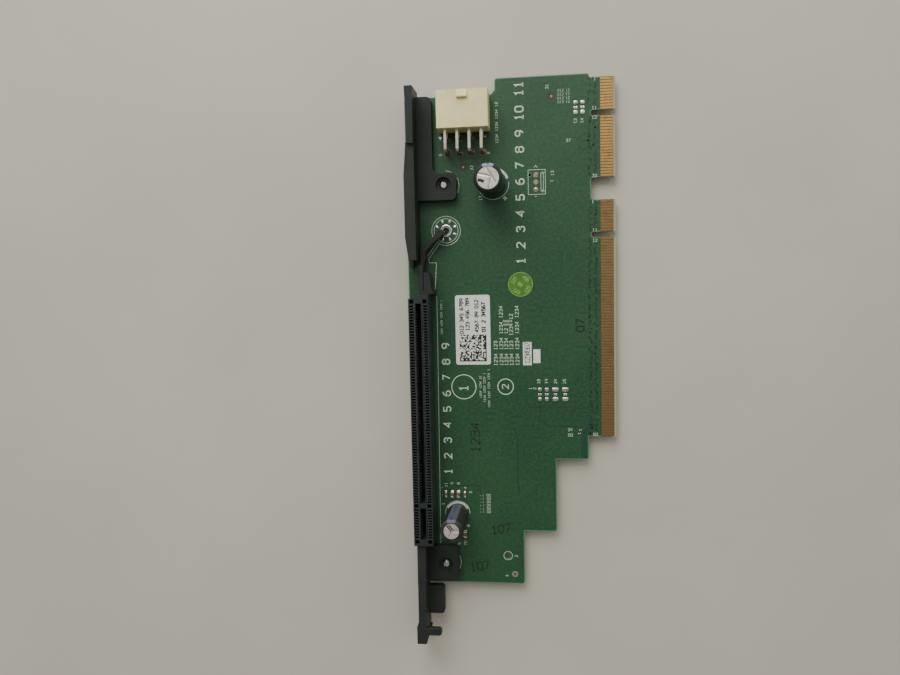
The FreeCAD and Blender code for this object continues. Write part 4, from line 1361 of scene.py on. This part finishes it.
    def finger_openings(self, via: Layer, draw: random.Random) -> None:
        """Opens the plane in two columns beside the fingers, with some left out.

        Args:
            via: The layer.
            draw: The random numbers.
        """
        for level in self.finger_rows():
            for column in (65.2, 67.1):
                if draw.random() < 0.82:
                    x = column + draw.uniform(-0.5, 0.5)
                    y = level + draw.uniform(-0.3, 0.3)
                    lean = draw.uniform(-0.3, 0.3)
                    via.stroke([(x - lean, y - 0.42), (x + lean, y + 0.42)], draw.uniform(0.4, 0.85))

    def stair_vias(self, via: Layer, draw: random.Random) -> None:
        """Sets vias at uneven steps just inside the board's stairs.

        Args:
            via: The layer.
            draw: The random numbers.
        """
        spacing, inset = 1.9, 0.8
        for (x0, y0), (x1, y1) in zip(self.stair, self.stair[1:]):
            count = int(max(abs(x1 - x0), abs(y1 - y0)) / spacing)
            for step in range(1, count):
                share = (step + draw.uniform(-0.25, 0.25)) / count
                x = x0 + (x1 - x0) * share - inset
                y = y0 + (y1 - y0) * share + inset * (y0 == y1)
                via.disc((x, y), draw.uniform(0.16, 0.26))

    def pads(self) -> None:
        """Wets the bare pads with solder: two groups for chips left off, and the ends of the chips fitted."""
        solder = SolderWork(self.board)
        deep, thin = 0.4, 0.2
        for x, wide in ((47.0, 1.6), (49.5, 1.6), (52.57, 2.5), (56.1, 2.5)):
            solder.pillow(x - wide / 2, 71.7, wide, 1.5, deep)
            solder.pillow(x - wide / 2 + 0.1, 68.2, wide - 0.2, 1.5, deep)
            for side in (-0.36, 0.36):
                solder.pillow(x + side - 0.3, 70.1, 0.6, 1.0, thin)
        for x in (60.55, 62.95):
            solder.pillow(x - 0.8, 172.55, 1.6, 1.45, deep)
            solder.pillow(x - 0.7, 171.05, 0.65, 1.05, thin)
            solder.pillow(x + 0.05, 171.05, 0.65, 1.05, thin)
            solder.pillow(x - 0.8, 169.1, 1.6, 1.65, deep)
        for x, y in ((61.1, 57.7), (61.6, 57.7), (60.6, 56.4), (61.2, 56.4), (10.6, 35.8), (10.6, 33.2)):
            solder.pillow(x - 0.2, y - 0.2, 0.4, 0.4, 0.08)
        self.chip_ends(solder)
        solder.finish("soldered_pads", SOLDER, Slot.TIN, smooth=True)

    def chip_ends(self, solder: SolderWork) -> None:
        """Solders both ends of each chip.

        Args:
            solder: The layer of solder.
        """
        reach, lap, margin, climb = 0.72, 0.12, 0.05, 0.42
        for x, y, wide, tall in self.chips:
            for side in (-1.0, 1.0):
                edge = y + side * tall / 2 - (reach - lap if side < 0 else lap)
                solder.pillow(x - wide / 2 - margin, edge, wide + 2 * margin, reach, climb)

    def test_points(self) -> None:
        """Leaves the round copper targets bare in their openings."""
        ring = Layer(self.board, rise=0.012)
        pale = Layer(self.board, rise=0.012)
        copper = Layer(self.board, rise=0.03)
        for centre in self.dark_targets:
            ring.disc(centre, 1.2)
            copper.disc(centre, 0.42)
        pale.disc(self.target_rim, 1.12)
        copper.disc(self.target_rim, 0.8)
        copper.bar(45.72, 148.22, 1.66, 1.66)
        copper.disc((46.52, 146.52), 0.85)
        copper.ring((46.52, 143.98), 0.7, 0.3)
        ring.finish("target_openings", HOLE_DARK, Slot.BOARD)
        pale.finish("target_rim", PALE_RING, Slot.BOARD)
        copper.finish("bare_copper_targets", COPPER, Slot.BOARD)

    def stamps(self) -> None:
        """Stamps a few plain digits in dark ink."""
        stamp = Layer(self.board)
        stamp.digits("1234", (24.9, 49.4), 3.2, pitch=1.35, weight=0.13)
        stamp.digits("07", (62.9, 93.4), 2.7, pitch=1.4, weight=0.2)
        for place in ((29.0, 18.6), (20.9, 4.2)):
            stamp.digits("107", place, 2.9, Reading.ACROSS, pitch=1.3, weight=0.13, lean=10.0)
        stamp.finish("stamped_digits", DARK_INK, Slot.BOARD)


@dataclass
class SolderJoints:
    """The joints that hold the through-hole parts."""

    board: Board
    header_columns: int = 4
    header_mid: float = 21.7
    header_pitch: float = 4.2
    header_rows: tuple[float, float] = (163.0, 157.7)
    slot_mid: float = 5.1
    slot_contact_wide: float = 0.4
    slot_contacts: int = 82
    slot_before_key: int = 11
    slot_key_step: float = 2.0
    slot_offsets: tuple[float, float] = (2.75, 1.25)
    hole: Point = LATCH_HOLE
    rim_radius: float = 1.85
    rim_half_wide: float = 0.42
    rim_tall: float = 0.3
    rim_steps: int = 8
    wedge_middle: float = 3.3
    wedge_corners: tuple[Point, ...] = ((2.62, -0.16), (3.95, -0.62), (3.95, 0.62), (2.62, 0.16))
    wedge_bulge: tuple[Point, ...] = ((1.0, 0.0), (0.94, 0.1), (0.7, 0.22), (0.3, 0.28))
    can_leads: tuple[tuple[float, float, float], ...] = ((30.7, 146.6, 2.5), (16.25, 26.2, 1.75))

    def build(self) -> None:
        """Builds the joints of both faces."""
        self.header_joints()
        self.hole_pads()
        self.slot_tails()

    def header_pins(self) -> Iterator[Point]:
        """Goes through the header's pins.

        Yields:
            The place of each pin.
        """
        for row in self.header_rows:
            for column in range(self.header_columns):
                yield self.header_mid + (column - (self.header_columns - 1) / 2) * self.header_pitch, row

    def header_joints(self) -> None:
        """Solders the header's pins, and the capacitors' leads on the underside."""
        upper = SolderWork(self.board)
        for pin in self.header_pins():
            upper.fillet(pin, 1.2, 0.72, 0.28)
        upper.finish("header_joints", DULL_SOLDER, Slot.TIN, smooth=True)
        lower = SolderWork(self.board, Face.BOTTOM)
        for pin in self.header_pins():
            lower.fillet(pin, 1.4, 0.62, 0.95)
        for x, y, spread in self.can_leads:
            for side in (-1, 1):
                lower.fillet((x, y + side * spread), 0.95, 0.34, 0.8)
        lower.finish("header_joints_underside", SOLDER, Slot.TIN, smooth=True)
        rim = Layer(self.board, rise=0.03)
        for pin in self.header_pins():
            rim.ring(pin, 1.27, 0.13)
        rim.finish("header_pad_rims", COPPER, Slot.TIN)
        plug = SolderWork(self.board)
        plug.fillet((46.52, 143.98), 0.6, 0.2, 0.3)
        plug.finish("three_pin_plug", SOLDER, Slot.TIN, smooth=True)

    def hole_pads(self) -> None:
        """Sets the eight wedge-shaped pads round the latch's hole, and the solder round its rim."""
        for face, name in ((Face.TOP, "hole_wedges"), (Face.BOTTOM, "hole_wedges_underside")):
            solder = SolderWork(self.board, face)
            for index in range(8):
                turn = math.radians(22.5 + 45.0 * index)
                solder.loft([(self.wedge(turn, grow), height) for grow, height in self.wedge_bulge])
            rings = []
            for step in range(self.rim_steps + 1):
                swing = math.pi * step / self.rim_steps
                radius = self.rim_radius + self.rim_half_wide * math.cos(swing)
                rings.append((solder.circle(self.hole, radius, 26), self.rim_tall * math.sin(swing)))
            solder.loft(rings, hollow=True)
            solder.finish(name, SOLDER, Slot.TIN, smooth=True)

    def wedge(self, turn: float, grow: float) -> list[Point]:
        """Lists a wedge's outline.

        Args:
            turn: The wedge's angle, in radians.
            grow: Its size about its middle, as a share of the full one.

        Returns:
            Its corners.
        """
        way, side = (math.cos(turn), math.sin(turn)), (-math.sin(turn), math.cos(turn))
        outline = []
        for out, across in self.wedge_corners:
            reach = self.wedge_middle + (out - self.wedge_middle) * grow
            outline.append((self.hole[0] + way[0] * reach + side[0] * across * grow,
                            self.hole[1] + way[1] * reach + side[1] * across * grow))
        return outline

    def slot_tails(self) -> None:
        """Solders the slot's contact tails on the underside, in two staggered rows a side."""
        solder = SolderWork(self.board, Face.BOTTOM)
        low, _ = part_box("slot_contacts_left")
        first = (low.y - self.board.low.y) / MM + self.slot_contact_wide / 2
        for index in range(self.slot_contacts):
            y = first + index + (self.slot_key_step if index >= self.slot_before_key else 0.0)
            for side in (-1, 1):
                x = self.slot_mid + side * self.slot_offsets[index % 2]
                solder.tail((x, y), 0.45, 0.22, 0.35, 0.95)
        solder.finish("slot_tails", SOLDER, Slot.TIN, smooth=True)


@dataclass
class Labels:
    """The stickers and their print."""

    board: Board
    label: Box = (16.85, 81.75, 12.65, 25.3)
    tag: Box = (41.15, 81.4, 3.1, 8.4)
    sticker: Point = (40.6, 110.55)
    thick: float = 0.1
    ink_rise: float = 0.012
    corner: float = 0.8
    code_place: Point = (1.4, 1.15)
    cell: float = 0.445
    cells: int = 22
    dark_share: float = 0.52
    seed: int = 11

    def build(self) -> None:
        """Builds the label and the print of every label."""
        self.label_sheet()
        self.label_print()
        self.tag_print()
        self.sticker_print()

    def label_sheet(self) -> None:
        """Cuts the large label with round corners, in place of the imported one."""
        left, low, wide, tall = self.label
        centre = (left + wide / 2, low + tall / 2)
        sheet = SolderWork(self.board)
        outline = sheet.soft_corners(centre, wide, tall, self.corner)
        sheet.loft([(outline, level) for level in (0.0, self.thick)])
        piece = sheet.finish("white_label", PAPER, Slot.PAPER)
        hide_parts("address_label")

    def label_print(self) -> None:
        """Prints a bordered field of random cells and a few rows of plain digits on the white label."""
        left, low, _, _ = self.label
        ink = Layer(self.board, base=self.thick, rise=self.ink_rise)
        draw = random.Random(self.seed)
        x0, y0 = left + self.code_place[0], low + self.code_place[1]
        last = self.cells - 1
        for row in range(self.cells):
            start = None
            for column in range(self.cells + 1):
                border = row == 0 or column == last
                dark = column < self.cells and (border or draw.random() < self.dark_share)
                if dark and start is None:
                    start = column
                if not dark and start is not None:
                    wide = (column - start) * self.cell
                    ink.bar(x0 + start * self.cell, y0 + row * self.cell, wide, self.cell)
                    start = None
        for across, up, text, weight in (
            (2.85, 11.3, "012 345 6789", 0.27), (5.05, 12.5, "123 456 789", 0.27),
            (8.35, 11.9, "4567 89 012", 0.28), (10.85, 12.0, "01 2 34567", 0.32),
        ):
            ink.digits(text, (left + across, low + up), 1.2, pitch=1.35, weight=weight)
        ink.finish("label_print", PRINT, Slot.PAPER)

    def tag_print(self) -> None:
        """Prints a row of digits on the small tag."""
        left, low, wide, _ = self.tag
        ink = Layer(self.board, base=self.thick, rise=self.ink_rise)
        ink.digits("1234567", (left + wide - 0.65, low + 0.55), 1.75, pitch=0.93, weight=0.13)
        ink.finish("tag_print", PRINT, Slot.PAPER)

    def sticker_print(self) -> None:
        """Prints plain digits and a ring on the green sticker."""
        ink = Layer(self.board, base=self.thick, rise=self.ink_rise)
        x, y = self.sticker
        ink.ring((x, y), 4.3, 0.1)
        for dx, dy, text, lean in (
            (-1.1, 0.05, "88", -38.0), (-2.5, 0.1, "123", 60.0), (0.6, 2.3, "456", -35.0),
            (2.3, -3.2, "123", 60.0), (-2.8, -2.2, "123", -32.0),
        ):
            place = (x + dx, y + dy)
            ink.digits(text, place, 1.05, Reading.ACROSS, pitch=1.25, weight=0.12, lean=lean)
        ink.finish("sticker_print", STICKER_INK, Slot.STICKER)


@dataclass
class Electrolytic:
    """One capacitor: its can, film sleeve, bung, and the end of its can with the marks printed on it.

    Attributes:
        name: What its nodes' names start with.
        board: The board that it stands on.
        half_angle: Half the angle that its stripe covers, in degrees.
        film: The sleeve's colour.
        stripe: The stripe's colour.
        marks: The strokes of its mark, from the can's axis.
        mark_wide: The strokes' width.
        end_radius: The radius of the bare end.
        vent: The grooves of its vent.
    """

    name: str
    board: Board
    half_angle: float
    film: Colour
    stripe: Colour
    marks: tuple[tuple[Point, ...], ...]
    mark_wide: float
    end_radius: float
    vent: tuple[Groove, ...]

    @property
    def centre(self) -> Vector:
        """A point of the can's axis."""
        low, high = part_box(self.name + "_can")
        return (low + high) / 2

    def build(self, frame: dict) -> None:
        """Finishes the nodes and prints the marks.
        """
        _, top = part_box(self.name + "_can")
        aluminium = SpunAluminium(self.name + "_aluminium", self.centre, self.vent)
        paint(frame, self.name + "_can", aluminium)
        sleeve = ShrinkSleeve(
            self.name + "_film", self.centre, top.z / MM, self.half_angle, self.film, self.stripe
        )
        paint(frame, self.name + "_sleeve", sleeve)
        paint(frame, self.name + "_bung", RUBBER)
        paint(frame, self.name + "_leads", TIN)
        x = (self.centre.x - self.board.low.x) / MM
        y = (self.centre.y - self.board.low.y) / MM
        end = Layer(self.board, base=(top.z - self.board.high.z) / MM)
        end.disc((x, y), self.end_radius)
        end.finish(self.name + "_end", aluminium, Slot.CAN)
        ink = Layer(self.board, base=end.base + end.rise, rise=0.012)
        for mark in self.marks:
            ink.stroke([(x + dx, y + dy) for dx, dy in mark], self.mark_wide)
        ink.finish(self.name + "_end_mark", CAN_MARK, Slot.CAN)


def paint(frame: dict, node: str, finish: Finish) -> None:
    """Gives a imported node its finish.

    Args:
        node: The node's name.
        finish: Its surface.
    """
    piece = frame["nodes"][node]
    material = finish.material()
    for index in range(len(piece.material_slots)):
        piece.material_slots[index].material = material
    LOG.info("%s: %s", node, material.name)


@dataclass
class Studio:
    """A pale table, a large soft lamp above the card's far edge, a pale sky and a camera that looks down.

    Attributes:
        table: The table's width, in metres.
        colour: The table's colour.
        shade: The colour of its cloudy parts.
        lamp_size: The lamp's width and height, in metres.
        lamp_energy: Its power, in watts.
        lamp_place: Its place; it faces the middle of the card.
        sky: Where along Y the sky starts to brighten and where it stops, and its strength at both.
        sky_colour: The sky's colour.
        eye: The camera's place.
        tilt: The camera's turn about X, Y and Z, in degrees.
        lens: Its focal length, in millimetres.
        sensor: Its sensor's width, in millimetres.
        nearest: The closest distance that it sees, in metres.
    """

    table: float = 1.6
    colour: Colour = srgb(190, 185, 172)
    shade: Colour = srgb(184, 179, 165)
    lamp_size: float = 0.45
    lamp_energy: float = 4.6
    lamp_place: tuple[float, float, float] = (-0.15, 0.6, 0.42)
    sky: tuple[float, float, float, float] = (-0.08, 0.5, 0.28, 1.4)
    sky_colour: Colour = srgb(252, 251, 246)
    eye: tuple[float, float, float] = (0.012158, 0.031542, 0.272421)
    tilt: tuple[float, float, float] = (-4.715, 7.206, -1.256)
    lens: float = 29.86
    sensor: float = 36.0
    nearest: float = 0.005

    def build(self) -> None:
        """Builds the table, lights and camera."""
        self.lay_table()
        self.light()
        self.camera()

    def lay_table(self) -> None:
        """Lays the table top just under the card."""
        mesh = bmesh.new()
        half = self.table / 2
        for x, y in ((-half, -half), (half, -half), (half, half), (-half, half)):
            mesh.verts.new((x, y, 0.0))
        mesh.faces.new(mesh.verts)
        data = bpy.data.meshes.new("table_top")
        mesh.to_mesh(data)
        mesh.free()
        table = bpy.data.objects.new("table_top", data)
        bpy.context.scene.collection.objects.link(table)
        recipe = Recipe("painted_table")
        cloud = recipe.rise(recipe.noise(90.0, 3.0), 0.3, 0.7)
        data.materials.append(recipe.dress(
            Base_Color=recipe.mix(cloud, self.colour, self.shade),
            Roughness=0.65,
            Specular_IOR_Level=0.25,
            Normal=recipe.bump(recipe.noise(0.6, 3.0), 0.01),
        ))

    def light(self) -> None:
        """Hangs a large soft lamp, and builds the sky."""
        lamp = bpy.data.lights.new("window", "AREA")
        lamp.shape = "RECTANGLE"
        lamp.size = self.lamp_size
        lamp.size_y = self.lamp_size
        lamp.energy = self.lamp_energy
        window = bpy.data.objects.new("window", lamp)
        window.location = self.lamp_place
        window.rotation_euler = (-Vector(self.lamp_place)).to_track_quat("-Z", "Y").to_euler()
        bpy.context.scene.collection.objects.link(window)
        self.build_sky()

    def build_sky(self) -> None:
        """Builds a sky that is brighter beyond the card's far edge."""
        world = bpy.data.worlds.new("room")
        bpy.context.scene.world = world
        world.use_nodes = True
        tree = world.node_tree
        place = tree.nodes.new("ShaderNodeTexCoord")
        split = tree.nodes.new("ShaderNodeSeparateXYZ")
        ramp = tree.nodes.new("ShaderNodeMapRange")
        ramp.interpolation_type = "SMOOTHSTEP"
        for name, value in zip(("From Min", "From Max", "To Min", "To Max"), self.sky):
            ramp.inputs[name].default_value = value
        tree.links.new(place.outputs["Generated"], split.inputs[0])
        tree.links.new(split.outputs["Y"], ramp.inputs["Value"])
        tree.links.new(ramp.outputs[0], tree.nodes["Background"].inputs["Strength"])
        tree.nodes["Background"].inputs["Color"].default_value = (*self.sky_colour, 1.0)

    def camera(self) -> None:
        """Sets the camera over the card."""
        data = bpy.data.cameras.new("camera")
        data.lens = self.lens
        data.sensor_width = self.sensor
        data.clip_start = self.nearest
        camera = bpy.data.objects.new("camera", data)
        camera.location = self.eye
        camera.rotation_euler = Euler([math.radians(angle) for angle in self.tilt], "XYZ")
        bpy.context.scene.collection.objects.link(camera)
        bpy.context.scene.camera = camera


BARRED_VENT = (
    Groove(1.4, -3.1, 2.7, 302.0), Groove(-0.75, -0.8, 3.5, 168.0), Groove(0.92, -0.7, 3.5, 257.0),
)
STARRED_VENT = tuple(Groove(0.0, 0.1, 2.4, turn) for turn in (5.0, 125.0, 245.0))
BARE_BEFORE_FINGERS = 0.1
BARE_FROM_TIPS = 0.05
TONGUE_REACH = 5.4
NODE_FINISHES: dict[str, Finish] = {
    "edge_contacts_x4_top": GOLD,
    "edge_contacts_x4_bottom": GOLD,
    "edge_contacts_x16_top": SHADED_FINGER_GOLD,
    "edge_contacts_x16_bottom": SHADED_FINGER_GOLD,
    "slot_housing": SLOT_BLACK,
    "slot_contacts_left": SPRING,
    "slot_contacts_right": SPRING,
    "card_latch": BLACK,
    "hole_ring": SOLDER,
    "power_header_housing": IVORY,
    "power_pins_upper": TIN,
    "power_pins_lower": TIN,
    "guide_bracket_upper": BLACK,
    "guide_bracket_lower": BLACK,
    "bracket_screws": STEEL,
    "ceramic_capacitor_bodies": CERAMIC,
    "ceramic_capacitor_terminals": SOLDER,
    "code_tag": PAPER,
    "code_strip": PAPER,
    "inspection_sticker": STICKER,
}


def main() -> None:
    """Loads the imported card, dresses it and sets the scene."""
    logging.basicConfig(level=logging.INFO, format="%(name)s %(message)s")
    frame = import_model()
    low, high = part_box("circuit_board")
    board = Board(low, high)
    fingers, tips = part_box("edge_contacts_x16_top")
    mask = SolderMask(
        fingers_from=fingers.x / MM - BARE_BEFORE_FINGERS,
        fingers_to=tips.x / MM + BARE_FROM_TIPS,
        tongue_from=board.at(board.width - TONGUE_REACH, 0.0).x / MM,
    )
    paint(frame, "circuit_board", mask)
    for node, finish in NODE_FINISHES.items():
        paint(frame, node, finish)
    PrintedBoard(board).build()
    SolderJoints(board).build()
    Labels(board).build()
    Electrolytic(
        name="large_capacitor", board=board, half_angle=24.0,
        film=srgb(29, 40, 36), stripe=srgb(132, 134, 148),
        marks=(((-3.45, -0.6), (-2.3, -0.8), (-1.35, -1.25)),), mark_wide=1.0,
        end_radius=3.75, vent=BARRED_VENT,
    ).build(frame)
    Electrolytic(
        name="small_capacitor", board=board, half_angle=25.0,
        film=srgb(42, 40, 37), stripe=srgb(72, 75, 89),
        marks=(((-1.6, 1.9), (-0.1, 0.05)), ((-0.85, 2.15), (0.55, 0.5))), mark_wide=0.42,
        end_radius=2.75, vent=STARRED_VENT,
    ).build(frame)
    Studio().build()


if __name__ == "__main__":
    main()
